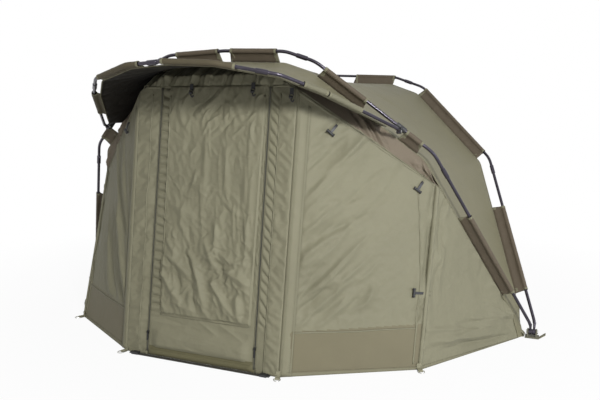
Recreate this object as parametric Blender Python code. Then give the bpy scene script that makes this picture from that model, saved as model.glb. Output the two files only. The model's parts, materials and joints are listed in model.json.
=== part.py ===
"""A two-rib bivvy tent with a folding visor: bowed pole ribs on two ground hubs, an olive canopy hung in sleeves
below the poles, a faceted front wall with a zipped door, and pegging rings round the hem.

Metres, +Z up, the door faces -Y. The origin is on the ground at the centre of the footprint.
Each rib is drawn flat, as (x, r): x across the tent and r out from its hinge axis, and then leant to its angle.
"""

import math

import bmesh
import bpy
from mathutils import Vector

# Overall sizes
HALF_SPAN = 1.400  # hub centre to the middle of the tent
PIVOT_HEIGHT = 0.030  # hub axis above the ground
FRONT_REACH = 1.569  # front rib, hub axis to crown
REAR_REACH = 1.613  # rear rib, hub axis to crown
FRONT_LEAN = 25.9  # degrees forward of upright
REAR_LEAN = 32.5  # degrees behind upright
FRONT_DEPTH = 0.973  # hub axis to the door sill
REAR_DEPTH = 1.430  # hub axis to the back hem
VISOR_REACH = 0.697  # hinge axis to the visor's front
VISOR_RISE = 25.0  # degrees above level

# Rib outlines from the hub to the crown, as shares of (hub half span, reach)
FRONT_RIB_SHARES = ((0.689, 0.665), (0.325, 0.958), (0.225, 0.992), (0.0, 1.0))
REAR_RIB_SHARES = ((0.770, 0.624), (0.440, 0.936), (0.298, 0.987), (0.0, 1.0))
VISOR_RIB_SHARES = ((0.729, 0.575), (0.563, 0.805), (0.258, 0.966), (0.0, 1.0))
RIB_BEND_RADIUS = 0.160
VISOR_BEND_RADIUS = 0.120
BEND_STEP = 12.0  # degrees of a bend for each straight step

# Poles
POLE_RADIUS = 0.008
POLE_WALL = 0.0014
FERRULE_RADIUS = 0.0108
FERRULE_HALF = 0.026
FIT_GAP = 0.0003
POLE_SIDES = 8

# Where the poles join and the visor's brackets sit, as shares across the half span
FRONT_JOINT_SHARES = (0.722, 0.281)
REAR_JOINT_SHARES = (0.788, 0.366)
VISOR_JOINT_SHARES = (-0.640, -0.080, 0.480)
JUNCTION_SHARE = 0.583

# Sleeves from the crown to the hub, as shares across the half span
FRONT_SLEEVE_SHARES = ((0.024, 0.193), (0.352, 0.479), (0.600, 0.650), (0.791, 0.930))
REAR_SLEEVE_SHARES = ((0.107, 0.300), (0.456, 0.749), (0.850, 0.965))
VISOR_SLEEVE_SHARES = ((-0.880, -0.710), (-0.530, -0.170), (-0.020, 0.360), (0.650, 0.725), (0.742, 0.860))
SLEEVE_DROP = 0.058  # pole centre to canopy seam
VISOR_SLEEVE_DROP = 0.030
SLEEVE_WALL = 0.0014
SLEEVE_SLACK = 0.0009
SLEEVE_SIDES = 8
WEB_THICKNESS = 0.0016
WEB_INSIDE = 0.0025
WEB_OUTSIDE = 0.0080

# Hubs
EYE_PITCH = 0.0176
EYE_RADIUS = 0.0145
ARM_WIDTH = 0.012
ARM_LENGTH = 0.050
BOLT_RADIUS = 0.005
BOLT_HEAD_RADIUS = 0.0095
BOLT_HEAD_HEIGHT = 0.005
EAR_WIDTH = 0.006
EAR_RADIUS = 0.0165
HUB_BASE_LENGTH = 0.068
HUB_BASE_WIDTH = 0.050
HUB_BASE_HEIGHT = 0.008
ROUND_SIDES = 16
TAB_LENGTH = 0.040
TAB_WIDTH = 0.038
TAB_THICKNESS = 0.0030
EYELET_RADIUS = 0.0065
EYELET_INSET = 0.014

# Visor brackets
BRACKET_LENGTH = 0.052
BRACKET_RADIUS = 0.0135
VISOR_EYE_RADIUS = 0.011
VISOR_EYE_WIDTH = 0.012
VISOR_ARM_LENGTH = 0.034
VISOR_PIN_RADIUS = 0.0032
VISOR_PIN_OUT = 0.036  # pole centre to pin
FORK_PLATE = 0.004
FORK_RADIUS = 0.0105
PIN_HEAD = 0.0022

# Cloth
CLOTH = 0.003
SEAM_GAP = 0.0005
EDGE_GAP = 0.0008  # visor cloth to its band, edge to edge round the bends
ROOF_SAG = 0.034
VISOR_SAG = 0.018
REAR_SAG = 0.030
WING_SAG = 0.016
FOLD_DEPTH = 0.010
FOLD_PITCH = 0.105
CANOPY_START = 0.130  # hub to where the canopy starts, along the rib
HUB_TUCK = 0.062  # the hem's inset from the hub
HUB_TUCK_FORWARD = 0.034
VISOR_START = 0.075  # bracket to where the visor's cloth starts, along its rib

# The front wall, heights on its flat middle and shares across
DOOR_TOP_AHEAD = 0.0826  # how far the door's top stands in front of the front rib's crown
HEADER_DEPTH = 0.0662  # crown seam down to the door's top
VENT_CORNER_DROP = 0.068  # door's top down to the header's corners
DOOR_HALF_SHARE = 0.205
FACET_SHARE = 0.300
WING_TOP_SHARE = 0.735
VENT_START = 0.045
FRONT_CORNER_SHARES = (0.692, 0.656)
DOOR_CORNER_SHARES = (0.291, 1.0)
BACK_CORNER_SHARES = (0.860, 0.505)
TAIL_CORNER_SHARES = (0.380, 1.0)
BACK_TOP_SHARE = 0.800
TAIL_TOP_SHARE = 0.400

# Rings and their loops
LOOP_WIDTH = 0.022
LOOP_REACH = 0.026
LOOP_WALL = 0.0014
LOOP_SLACK = 0.0004
LOOP_SINK = 0.0026  # how far the loop is sewn into the cloth
RING_WIRE = 0.0020
RING_SHOULDER = 0.004
RING_DEPTH = 0.024
RING_SIDES = 6
RING_STEPS = 8

# Door hardware
SLIDER_LENGTH = 0.016
SLIDER_WIDTH = 0.011
SLIDER_DEPTH = 0.004
SLIDER_HEIGHT = 0.110
SLIDER_STAND_OFF = 0.0008
SLIDER_EAR = 0.0020
SLIDER_EAR_DEPTH = 0.0052
SLIDER_BAR_RADIUS = 0.0009
PULL_LENGTH = 0.040
PULL_WALL = 0.0008
TOGGLE_BAR = 0.034
TOGGLE_RADIUS = 0.0045
TOGGLE_STEM = 0.050
TOGGLE_STEM_WIDTH = 0.005
TOGGLE_STEM_DEPTH = 0.0025
TOGGLE_STAND_OFF = 0.0006
STRAP_WIDTH = 0.020
STRAP_THICKNESS = 0.0025
BUCKLE_LENGTH = 0.036
BUCKLE_WIDTH = 0.026
BUCKLE_HEIGHT = 0.011
BUCKLE_WALL = 0.002
TONGUE_LENGTH = 0.030
TONGUE_INSERT = 0.018
TONGUE_CLEAR = 0.034  # tongue to the door corner

OVERRUN = 0.010  # how far a cutter runs past what it cuts

RIGHT = 1
LEFT = -1
SIDES = {"left": LEFT, "right": RIGHT}
X = Vector((1, 0, 0))
Y = Vector((0, 1, 0))
Z = Vector((0, 0, 1))

COLOURS = {
    "cloth": (0.235, 0.225, 0.150, 1.0),
    "dark_cloth": (0.150, 0.125, 0.100, 1.0),
    "pole": (0.050, 0.045, 0.060, 1.0),
    "plastic": (0.015, 0.014, 0.016, 1.0),
    "webbing": (0.020, 0.020, 0.020, 1.0),
    "steel": (0.550, 0.540, 0.500, 1.0),
}
ROUGHNESS = {"cloth": 0.75, "dark_cloth": 0.80, "pole": 0.30, "plastic": 0.45, "webbing": 0.85, "steel": 0.30}
METALLIC = {"pole": 0.8, "steel": 1.0}


# Objects and materials

def material(finish):
    """One material for each finish, made when it is first used."""
    found = bpy.data.materials.get(finish)
    if found:
        return found
    made = bpy.data.materials.new(finish)
    made.use_nodes = True
    shader = made.node_tree.nodes["Principled BSDF"]
    shader.inputs["Base Color"].default_value = COLOURS[finish]
    shader.inputs["Roughness"].default_value = ROUGHNESS[finish]
    shader.inputs["Metallic"].default_value = METALLIC.get(finish, 0.0)
    made.diffuse_color = COLOURS[finish]
    return made


def add(name, bm, finish, origin=None):
    """The drawn bmesh as an object whose origin is the given point, on its hinge where it moves."""
    origin = Vector(origin) if origin is not None else Vector((0, 0, 0))
    bmesh.ops.recalc_face_normals(bm, faces=bm.faces)
    bmesh.ops.translate(bm, verts=bm.verts, vec=-origin)
    mesh = bpy.data.meshes.new(name)
    bm.to_mesh(mesh)
    bm.free()
    mesh.shade_smooth()
    mesh.set_sharp_from_angle(angle=math.radians(35))
    made = bpy.data.objects.new(name, mesh)
    bpy.context.scene.collection.objects.link(made)
    made.location = origin
    mesh.materials.append(material(finish))
    return made


# Solids

def ring(centre, a, b, radius, sides, turn=0.5):
    """Points round a circle spanned by the directions a and b."""
    made = []
    for step in range(sides):
        angle = 2 * math.pi * (step + turn) / sides
        made.append(centre + a * (radius * math.cos(angle)) + b * (radius * math.sin(angle)))
    return made


def skin(bm, rings, closed=False):
    """A skin over rings of points, with flat ends unless the last ring meets the first."""
    loops = [[bm.verts.new(p) for p in points] for points in rings]
    count = len(loops[0])
    pairs = list(zip(loops, loops[1:]))
    if closed:
        pairs.append((loops[-1], loops[0]))
    for low, high in pairs:
        for k in range(count):
            after = (k + 1) % count
            bm.faces.new((low[k], low[after], high[after], high[k]))
    if not closed:
        bm.faces.new(loops[0])
        bm.faces.new(loops[-1])
    return bm


def rod(start, end, radius, sides=ROUND_SIDES, steps=None):
    """A turned solid from start to end; steps are (distance, radius) pairs along it."""
    along = (end - start).normalized()
    a = along.orthogonal().normalized()
    b = along.cross(a)
    length = (end - start).length
    rings = [ring(start + along * d, a, b, r, sides) for d, r in (steps or ((0.0, radius), (length, radius)))]
    return skin(bmesh.new(), rings)


def block(centre, a, b, c, sizes):
    """A box with its edges along the unit directions a, b and c."""
    half = [s / 2 for s in sizes]
    rings = []
    for end in (-half[2], half[2]):
        middle = centre + c * end
        rings.append([middle + a * (half[0] * i) + b * (half[1] * j) for i, j in ((-1, -1), (1, -1), (1, 1), (-1, 1))])
    return skin(bmesh.new(), rings)


def slab(outline, along, width):
    """An outline extruded by the width, half of it to each side."""
    return skin(bmesh.new(), [[p - along * (width / 2) for p in outline], [p + along * (width / 2) for p in outline]])


def combine(base, other, how):
    """Two closed solids united, or the second cut from the first."""
    scratch = []
    for bm in (base, other):
        bmesh.ops.recalc_face_normals(bm, faces=bm.faces)
        mesh = bpy.data.meshes.new("scratch")
        bm.to_mesh(mesh)
        bm.free()
        made = bpy.data.objects.new("scratch", mesh)
        bpy.context.scene.collection.objects.link(made)
        scratch.append(made)
    modifier = scratch[0].modifiers.new("combine", "BOOLEAN")
    modifier.operation = how
    modifier.object = scratch[1]
    bpy.context.view_layer.update()
    result = bmesh.new()
    result.from_object(scratch[0], bpy.context.evaluated_depsgraph_get())
    for made in scratch:
        mesh = made.data
        bpy.data.objects.remove(made)
        bpy.data.meshes.remove(mesh)
    return result


def unite(*solids):
    made = solids[0]
    for other in solids[1:]:
        made = combine(made, other, "UNION")
    return made


def cut(base, *cutters):
    for cutter in cutters:
        base = combine(base, cutter, "DIFFERENCE")
    return base


# Ribs

def rounded(corners, radius):
    """The corners joined by straight runs and round bends."""
    made = [corners[0]]
    for before, corner, after in zip(corners, corners[1:], corners[2:]):
        back = before - corner
        ahead = after - corner
        turn = math.pi - back.angle(ahead)
        reach = min(radius * math.tan(turn / 2), back.length * 0.45, ahead.length * 0.45)
        start = corner + back.normalized() * reach
        end = corner + ahead.normalized() * reach
        steps = max(1, round(math.degrees(turn) / BEND_STEP))
        for step in range(steps + 1):
            share = step / steps
            made.append(start.lerp(corner, share).lerp(corner.lerp(end, share), share))
    made.append(corners[-1])
    return made


def rib_corners(shares, half_span, reach, arm):
    """The flat corners of a whole rib, left to right, with an upright arm at each end."""
    half = [Vector((half_span, 0.0)), Vector((half_span, arm))]
    half += [Vector((x * half_span, r * reach)) for x, r in shares]
    return [Vector((-p.x, p.y)) for p in half[:-1]] + half[::-1]


class Rib:
    """A flat outline standing in a plane through its hinge axis."""

    def __init__(self, points, base, lean):
        self.points = points
        self.base = base
        self.out = Vector((0, -math.sin(lean), math.cos(lean)))
        self.forward = Vector((0, -math.cos(lean), -math.sin(lean)))
        self.marks = [0.0]
        for a, b in zip(points, points[1:]):
            self.marks.append(self.marks[-1] + (b - a).length)
        self.length = self.marks[-1]

    def flat(self, distance):
        distance = min(max(distance, 0.0), self.length)
        last = len(self.points) - 2
        for index in range(last + 1):
            low, high = self.marks[index], self.marks[index + 1]
            if distance <= high or index == last:
                return self.points[index].lerp(self.points[index + 1], (distance - low) / (high - low))

    def along(self, distance):
        """The path's direction in the plane, as (x, r), halved between the two runs at a bend."""
        step = self.length * 0.0005
        return (self.flat(distance + step) - self.flat(distance - step)).normalized()

    def outward(self, distance):
        along = self.along(distance)
        return Vector((-along.y, 0, 0)) + self.out * along.x

    def direction(self, distance):
        along = self.along(distance)
        return Vector((along.x, 0, 0)) + self.out * along.y

    def at(self, distance, drop=0.0, ahead=0.0):
        """A point on the pole's centre line, or below it in the plane, or in front of the plane."""
        flat = self.flat(distance)
        point = self.base + Vector((flat.x, 0, 0)) + self.out * flat.y
        return point - self.outward(distance) * drop + self.forward * ahead

    def where_x(self, x):
        """The distance along at which the path crosses x."""
        for index in range(len(self.points) - 1):
            a, b = self.points[index], self.points[index + 1]
            if a.x <= x <= b.x and b.x > a.x:
                return self.marks[index] + (x - a.x) / (b.x - a.x) * (self.marks[index + 1] - self.marks[index])
        return 0.0 if x < self.points[0].x else self.length

    def stations(self, start, end):
        """Both ends and the bend points between them."""
        margin = self.length * 0.002
        return [start, *[m for m in self.marks if start + margin < m < end - margin], end]


def leaning_rib(shares, half_span, reach, lean):
    points = rounded(rib_corners(shares, half_span, reach, ARM_LENGTH), RIB_BEND_RADIUS)
    return Rib(points, Z * PIVOT_HEIGHT, math.radians(lean))


FRONT = leaning_rib(FRONT_RIB_SHARES, HALF_SPAN - EYE_PITCH / 2, FRONT_REACH, FRONT_LEAN)
REAR = leaning_rib(REAR_RIB_SHARES, HALF_SPAN + EYE_PITCH / 2, REAR_REACH, -REAR_LEAN)
JUNCTION_X = JUNCTION_SHARE * HALF_SPAN
JUNCTION_AT = FRONT.where_x(-JUNCTION_X)
PIN = FRONT.at(JUNCTION_AT, ahead=VISOR_PIN_OUT)
VISOR_BASE = Vector((0, PIN.y, PIN.z))
VISOR = Rib(rounded(rib_corners(VISOR_RIB_SHARES, JUNCTION_X, VISOR_REACH, VISOR_ARM_LENGTH), VISOR_BEND_RADIUS),
            VISOR_BASE, math.radians(90 - VISOR_RISE))


def turned(rib, side, distance):
    """The same distance from the rib's other end for a piece on the right."""
    return distance if side == LEFT else rib.length - distance


# Poles

def pole(rib, start, end, socket_start=False, socket_end=False, open_start=True):
    """A tube along the rib; a socket end carries the ferrule that takes the next pole's plain end."""
    bore = POLE_RADIUS - POLE_WALL
    socket = POLE_RADIUS + FIT_GAP
    inner = rib.stations(start, end)[1:-1]
    outer = []
    inside = []
    if socket_start:
        outer += [(start - FERRULE_HALF, FERRULE_RADIUS), (start + FERRULE_HALF, FERRULE_RADIUS)]
        outer += [(start + FERRULE_HALF, POLE_RADIUS)]
        inside += [(start - FERRULE_HALF, socket), (start, socket), (start, bore)]
    else:
        first = start + FIT_GAP if open_start else start
        outer += [(first, POLE_RADIUS)]
        inside += [(first if open_start else start + POLE_WALL, bore)]
    clear = FERRULE_HALF + POLE_RADIUS
    near = clear if open_start else 0.0
    middle = [m for m in inner if start + near < m < end - clear]
    outer += [(m, POLE_RADIUS) for m in middle]
    inside += [(m, bore) for m in middle]
    if socket_end:
        outer += [(end - FERRULE_HALF, POLE_RADIUS), (end - FERRULE_HALF, FERRULE_RADIUS)]
        outer += [(end + FERRULE_HALF, FERRULE_RADIUS)]
        inside += [(end, bore), (end, socket), (end + FERRULE_HALF, socket)]
    else:
        outer += [(end - FIT_GAP, POLE_RADIUS)]
        inside += [(end - FIT_GAP, bore)]
    rings = [ring(rib.at(s), rib.outward(s), rib.forward, r, POLE_SIDES) for s, r in outer + inside[::-1]]
    return skin(bmesh.new(), rings, closed=open_start)


def eye_pole(rib, arm, eye_radius, eye_width, arm_width, hole, end, socket_end):
    """A pole from its hinge eye at the left end of the rib up to the given distance."""
    tube = pole(rib, arm - POLE_RADIUS / 2, end, socket_end=socket_end, open_start=False)
    centre = rib.at(0.0)
    disc = rod(centre - X * (eye_width / 2), centre + X * (eye_width / 2), eye_radius)
    shank = block(centre + rib.out * (arm / 2), X, rib.forward, rib.out, (arm_width, 2 * POLE_RADIUS, arm))
    drill = rod(centre - X * eye_width, centre + X * eye_width, hole)
    return cut(unite(disc, shank, tube), drill)


def mirrored(bm):
    """The left piece turned into the right one."""
    for vert in bm.verts:
        vert.co.x = -vert.co.x
    bmesh.ops.reverse_faces(bm, faces=bm.faces)
    return bm


def add_pair(name, draw, finish, origin):
    """A left piece and its mirror image on the right."""
    left = draw()
    add(f"{name}_left", left, finish, origin)
    right = mirrored(draw())
    add(f"{name}_right", right, finish, Vector((-origin[0], origin[1], origin[2])))


def add_rib(name, rib, joint_shares, eye, origin):
    """The five poles of a main rib; each ferrule is bonded to the pole nearer the hub."""
    low, high = [rib.where_x(-share * abs(rib.points[0].x)) for share in joint_shares]
    add_pair(f"{name}_pole_lower", lambda: eye_pole(rib, *eye, low, True), "pole", origin)
    add_pair(f"{name}_pole_shoulder", lambda: pole(rib, low, high, socket_end=True), "pole", origin)
    add(f"{name}_pole_crown", pole(rib, high, rib.length - high), "pole", origin)


def add_visor_rib(eye, origin):
    """The visor's four poles, with a ferrule at each of the three joints."""
    left, middle, right = [VISOR.where_x(share * JUNCTION_X) for share in VISOR_JOINT_SHARES]
    add("visor_pole_left", eye_pole(VISOR, *eye, left, True), "pole", origin)
    add("visor_pole_mid_left", pole(VISOR, left, middle, socket_end=True), "pole", origin)
    add("visor_pole_mid_right", pole(VISOR, middle, right), "pole", origin)
    add("visor_pole_right", mirrored(eye_pole(VISOR, *eye, VISOR.length - right, True)), "pole", origin)


# Sleeve bands

def lollipop(bore, wall, half, sides):
    """Angles round a tube, from one side of its web to the other, and the tube's radii."""
    first = math.asin(half / (bore + wall))
    span = 2 * (math.pi - first)
    angles = [math.pi + first + span * k / (sides - 1) for k in range(sides)]
    return angles, bore, bore + wall


def band(rib, drop, sleeves, start, end):
    """A strip on edge along the canopy's seam that rises to a tube round the pole at each sleeve."""
    bore = (POLE_RADIUS + SLEEVE_SLACK) / math.cos(math.pi / SLEEVE_SIDES)
    half = WEB_THICKNESS / 2
    angles, inner_r, outer_r = lollipop(bore, SLEEVE_WALL, half, SLEEVE_SIDES)
    edges = [s for pair in sleeves for s in pair]
    marks = sorted(set(rib.stations(start, end)) | set(edges))
    slim = rib.length * 0.004
    marks = [m for m in marks if m in edges or m in (start, end) or min(abs(m - e) for e in [*edges, start, end]) > slim]
    bm = bmesh.new()
    rows = []
    for mark in marks:
        out, side, centre = rib.outward(mark), rib.forward, rib.at(mark)
        seam = centre - out * drop
        row = {"web": [bm.verts.new(seam + out * up + side * across) for up, across in (
            (WEB_OUTSIDE, half), (-WEB_INSIDE, half), (-WEB_INSIDE, -half), (WEB_OUTSIDE, -half))]}
        if any(low <= mark <= high for low, high in sleeves):
            row["outer"] = [bm.verts.new(centre + out * (outer_r * math.cos(t)) + side * (outer_r * math.sin(t))) for t in angles]
            row["inner"] = [bm.verts.new(centre + out * (inner_r * math.cos(t)) + side * (inner_r * math.sin(t))) for t in angles]
        rows.append(row)

    def quads(low, high):
        for a, b, c, d in zip(low, low[1:], high[1:], high):
            bm.faces.new((a, b, c, d))

    for index, (low, high) in enumerate(zip(rows, rows[1:])):
        middle = (marks[index] + marks[index + 1]) / 2
        sleeved = any(a < middle < b for a, b in sleeves)
        quads(low["web"], high["web"])
        if sleeved:
            quads(low["inner"] + low["inner"][:1], high["inner"] + high["inner"][:1])
            quads(low["outer"], high["outer"])
            quads([low["outer"][-1], low["web"][0]], [high["outer"][-1], high["web"][0]])
            quads([low["web"][3], low["outer"][0]], [high["web"][3], high["outer"][0]])
        else:
            quads([low["web"][3], low["web"][0]], [high["web"][3], high["web"][0]])
    for mark, row in zip(marks, rows):
        if mark in edges:
            quads(row["inner"] + row["inner"][:1], row["outer"] + row["outer"][:1])
            bm.faces.new((row["outer"][0], row["outer"][-1], row["web"][0], row["web"][3]))
    bm.faces.new(rows[0]["web"])
    bm.faces.new(rows[-1]["web"])
    return bm


def sleeve_spans(rib, shares, half_span):
    """The sleeves' distances along the rib, both sides, left to right."""
    spans = []
    for low, high in shares:
        spans.append((rib.where_x(-high * half_span), rib.where_x(-low * half_span)))
        spans.append((rib.where_x(low * half_span), rib.where_x(high * half_span)))
    return sorted(spans)


# Cloth

def key(point):
    """A point's name, so that panels which share a seam find each other."""
    return tuple(round(c / CLOTH * 100) for c in point)


def flow(points, count, keep=()):
    """Shares from 0 to 1 with the given ones kept and the gaps between them filled evenly."""
    made = [0.0, *sorted(points), 1.0]
    filled = []
    for a, b in zip(made, made[1:]):
        steps = max(1, round((b - a) * count))
        filled += [a + (b - a) * k / steps for k in range(steps)]
    return filled + [1.0]


def merged(rib, start, end, other=(), count=12):
    """Shares along a stretch of rib at the other shares given and at its bends, evened out."""
    kept = []
    for share in [*other, *[(m - start) / (end - start) for m in rib.stations(start, end)[1:-1]]]:
        if 0.02 < share < 0.98 and all(abs(share - k) > 0.012 for k in kept):
            kept.append(share)
    return flow(kept, count)


def join(low, high, rows, sag=None):
    """A column of points from low to high, bowed by the sag vector."""
    made = []
    for row in range(rows + 1):
        share = row / rows
        bow = 4 * share * (1 - share)
        made.append(low.lerp(high, share) + (sag * bow if sag is not None else Vector((0, 0, 0))))
    return made


def directions(panels, fixed):
    """The cloth's outward direction at every point, shared by the panels that meet there."""
    total = {}
    for columns in panels.values():
        for left, right in zip(columns, columns[1:]):
            for k in range(len(left) - 1):
                normal = (right[k + 1] - left[k]).cross(left[k + 1] - right[k])
                for point in (left[k], right[k], left[k + 1], right[k + 1]):
                    total[key(point)] = total.get(key(point), Vector((0, 0, 0))) + normal
    for name, normal in total.items():
        total[name] = normal.normalized()
    total.update(fixed)
    return total


def cloth(columns, outward, sewn):
    """A panel as a thin solid; sewn edges are drawn in by the seam's gap, in the order left, right, low, high."""
    across, up = len(columns), len(columns[0])
    moved = [[p.copy() for p in column] for column in columns]
    left, right, low, high = sewn
    for i in range(across):
        for j in range(up):
            here = columns[i][j]
            if left and i == 0:
                moved[i][j] += (columns[1][j] - here).normalized() * SEAM_GAP
            if right and i == across - 1:
                moved[i][j] += (columns[i - 1][j] - here).normalized() * SEAM_GAP
            if low and j == 0:
                moved[i][j] += (columns[i][1] - here).normalized() * SEAM_GAP
            if high and j == up - 1:
                moved[i][j] += (columns[i][j - 1] - here).normalized() * SEAM_GAP
    bm = bmesh.new()
    sheets = []
    for side in (0.5, -0.5):
        grid = []
        for i in range(across):
            grid.append([bm.verts.new(moved[i][j] + outward[key(columns[i][j])] * (CLOTH * side)) for j in range(up)])
        sheets.append(grid)
    for grid in sheets:
        for i in range(across - 1):
            for j in range(up - 1):
                a, b, c, d = grid[i][j], grid[i + 1][j], grid[i + 1][j + 1], grid[i][j + 1]
                bm.faces.new((a, b, c))
                bm.faces.new((a, c, d))
    rim = [(i, 0) for i in range(across)] + [(across - 1, j) for j in range(1, up)]
    rim += [(i, up - 1) for i in range(across - 2, -1, -1)] + [(0, j) for j in range(up - 2, 0, -1)]
    top, under = sheets
    for (i, j), (m, n) in zip(rim, rim[1:] + rim[:1]):
        if key(columns[i][j]) > key(columns[m][n]):
            (i, j), (m, n) = (m, n), (i, j)
        bm.faces.new((top[i][j], top[m][n], under[i][j]))
        bm.faces.new((top[m][n], under[m][n], under[i][j]))
    return bm


def seam(rib, distance, drop, ahead, lift=0.0):
    """A point on the cloth's edge against the band, in front of it or behind it."""
    gap = WEB_THICKNESS / 2 + FIT_GAP
    return rib.at(distance, drop=drop - lift, ahead=ahead * gap)


def front_plane(x, z):
    """A point on the flat middle of the front wall."""
    return Vector((x, FRONT_SLOPE * z - FRONT_DEPTH, z))


def hem_corner(shares, side, depth):
    return Vector((side * shares[0] * HALF_SPAN, shares[1] * depth, 0))


CROWN_AHEAD = FRONT_REACH * math.sin(math.radians(FRONT_LEAN))
DOOR_TOP = PIVOT_HEIGHT + (FRONT_REACH - SLEEVE_DROP) * math.cos(math.radians(FRONT_LEAN)) - HEADER_DEPTH
FRONT_SLOPE = (FRONT_DEPTH - CROWN_AHEAD - DOOR_TOP_AHEAD) / DOOR_TOP  # how far the flat front leans back
FRONT_START = CANOPY_START
WING_TOP = FRONT.where_x(-WING_TOP_SHARE * HALF_SPAN)
FACET_TOP = FRONT.where_x(-FACET_SHARE * HALF_SPAN)
DOOR_HALF = DOOR_HALF_SHARE * HALF_SPAN
OUTER = hem_corner(FRONT_CORNER_SHARES, LEFT, -FRONT_DEPTH)
INNER = hem_corner(DOOR_CORNER_SHARES, LEFT, -FRONT_DEPTH)
WING_PEAK = seam(FRONT, WING_TOP, SLEEVE_DROP, 1)
FACET_PEAK = front_plane(-FACET_SHARE * HALF_SPAN, DOOR_TOP - VENT_CORNER_DROP)
ZIP_FOOT = front_plane(-DOOR_HALF, 0.0)
ZIP_PEAK = front_plane(-DOOR_HALF, DOOR_TOP)
WALL_ROW_COUNT = 8
UPPER_ROW_COUNT = 2
FACET_SHARES = merged(FRONT, WING_TOP, FACET_TOP, count=6)
GUSSET_SHARES = (0.0, 0.5, 1.0)
DOOR_COLUMN_COUNT = 12


def other_side(point):
    return Vector((-point.x, point.y, point.z))


def fold(x, z):
    """The door's hanging folds, which fade out towards the zips, the header and the sill."""
    across = math.cos(math.pi / 2 * x / DOOR_HALF)
    rise = math.sin(math.pi * min(max(z / DOOR_TOP, 0.0), 1.0))
    return FOLD_DEPTH * across * rise * math.sin(2 * math.pi * (x + z * 0.25) / FOLD_PITCH)


def left_wall():
    """The left wing, front panel and vent band as grids, each column running upwards."""
    fixed = {}
    wing = []
    start = Vector((-(HALF_SPAN - HUB_TUCK), -HUB_TUCK_FORWARD, 0))
    steps = 6
    inward = (OUTER - start).cross(Z).normalized()
    for k in range(steps + 1):
        share = k / steps
        distance = FRONT_START + (WING_TOP - FRONT_START) * share
        top = seam(FRONT, distance, SLEEVE_DROP, 1)
        bow = inward * (-WING_SAG * math.sin(math.pi * share))
        wing.append(join(start.lerp(OUTER, share), top, WALL_ROW_COUNT // 2, bow))
        fixed[key(top)] = FRONT.outward(distance)
    wing[-1] = join(OUTER, WING_PEAK, WALL_ROW_COUNT)
    wing[:-1] = [resample(column, WALL_ROW_COUNT) for column in wing[:-1]]
    panel = [join(OUTER.lerp(INNER, u), WING_PEAK.lerp(FACET_PEAK, u), WALL_ROW_COUNT) for u in FACET_SHARES]
    panel += [join(INNER.lerp(ZIP_FOOT, u), FACET_PEAK.lerp(ZIP_PEAK, u), WALL_ROW_COUNT) for u in GUSSET_SHARES[1:]]
    vent = []
    for u in FACET_SHARES:
        distance = WING_TOP + VENT_START + (FACET_TOP - WING_TOP - VENT_START) * u
        top = seam(FRONT, distance, SLEEVE_DROP, 1)
        vent.append(join(WING_PEAK.lerp(FACET_PEAK, u), top, UPPER_ROW_COUNT))
        fixed[key(top)] = FRONT.outward(distance)
    for point in vent[0]:
        fixed[key(point)] = FRONT.outward(WING_TOP)
    for columns in (wing, panel):
        for column in columns:
            fixed[key(column[0])] = None
    return {"wing": wing, "front_panel": panel, "vent": vent}, fixed


def resample(column, rows):
    """The same column with another number of points."""
    made = []
    last = len(column) - 1
    for row in range(rows + 1):
        place = row / rows * last
        index = min(int(place), last - 1)
        made.append(column[index].lerp(column[index + 1], place - index))
    return made


def level(direction):
    """The level part of a direction, for a hem that stands on the ground."""
    return Vector((direction.x, direction.y, 0)).normalized()


def front_wall():
    """Every panel of the front wall with its outward directions."""
    left, fixed = left_wall()
    panels = {f"{name}_left": columns for name, columns in left.items()}
    for name, columns in left.items():
        panels[f"{name}_right"] = [[other_side(p) for p in column] for column in columns[::-1]]
    for name, direction in list(fixed.items()):
        flipped = (-name[0], name[1], name[2])
        fixed[flipped] = Vector((-direction.x, direction.y, direction.z)) if direction is not None else None
    door = []
    header = []
    header_shares = [0.0, 0.1, 0.3, 0.5, 0.7, 0.9, 1.0]
    for k in range(DOOR_COLUMN_COUNT + 1):
        x = DOOR_HALF * (2 * k / DOOR_COLUMN_COUNT - 1)
        column = []
        for row in range(WALL_ROW_COUNT + 1):
            z = DOOR_TOP * row / WALL_ROW_COUNT
            flat = front_plane(x, z)
            column.append(flat - Y * fold(x, z) if 0 < k < DOOR_COLUMN_COUNT else flat)
        door.append(column)
    lower = [FACET_PEAK.lerp(ZIP_PEAK, u) for u in GUSSET_SHARES[:-1]] + [column[-1] for column in door]
    lower += [other_side(FACET_PEAK.lerp(ZIP_PEAK, u)) for u in GUSSET_SHARES[-2::-1]]
    for index, point in enumerate(lower):
        distance = FACET_TOP + (FRONT.length - 2 * FACET_TOP) * index / (len(lower) - 1)
        top = seam(FRONT, distance, SLEEVE_DROP, 1)
        header.append(join(point, top, UPPER_ROW_COUNT))
        fixed[key(top)] = FRONT.outward(distance)
    panels["door"] = door
    panels["header"] = header
    outward = directions(panels, {})
    for name, direction in fixed.items():
        outward[name] = direction if direction is not None else level(outward[name])
    for column in door:
        outward[key(column[0])] = level(outward[key(column[0])])
    return panels, outward


def beside(rib, drop, ahead, lift=0.0):
    """The edge of a cloth that is sewn against the band's face."""
    return lambda distance: (seam(rib, distance, drop, ahead, lift), rib.outward(distance))


def below(rib, drop):
    """The edge of a cloth that is sewn on along the band's inner edge and lies in its plane."""
    return lambda distance: (rib.at(distance, drop=drop + WEB_INSIDE + EDGE_GAP), -rib.forward)


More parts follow.
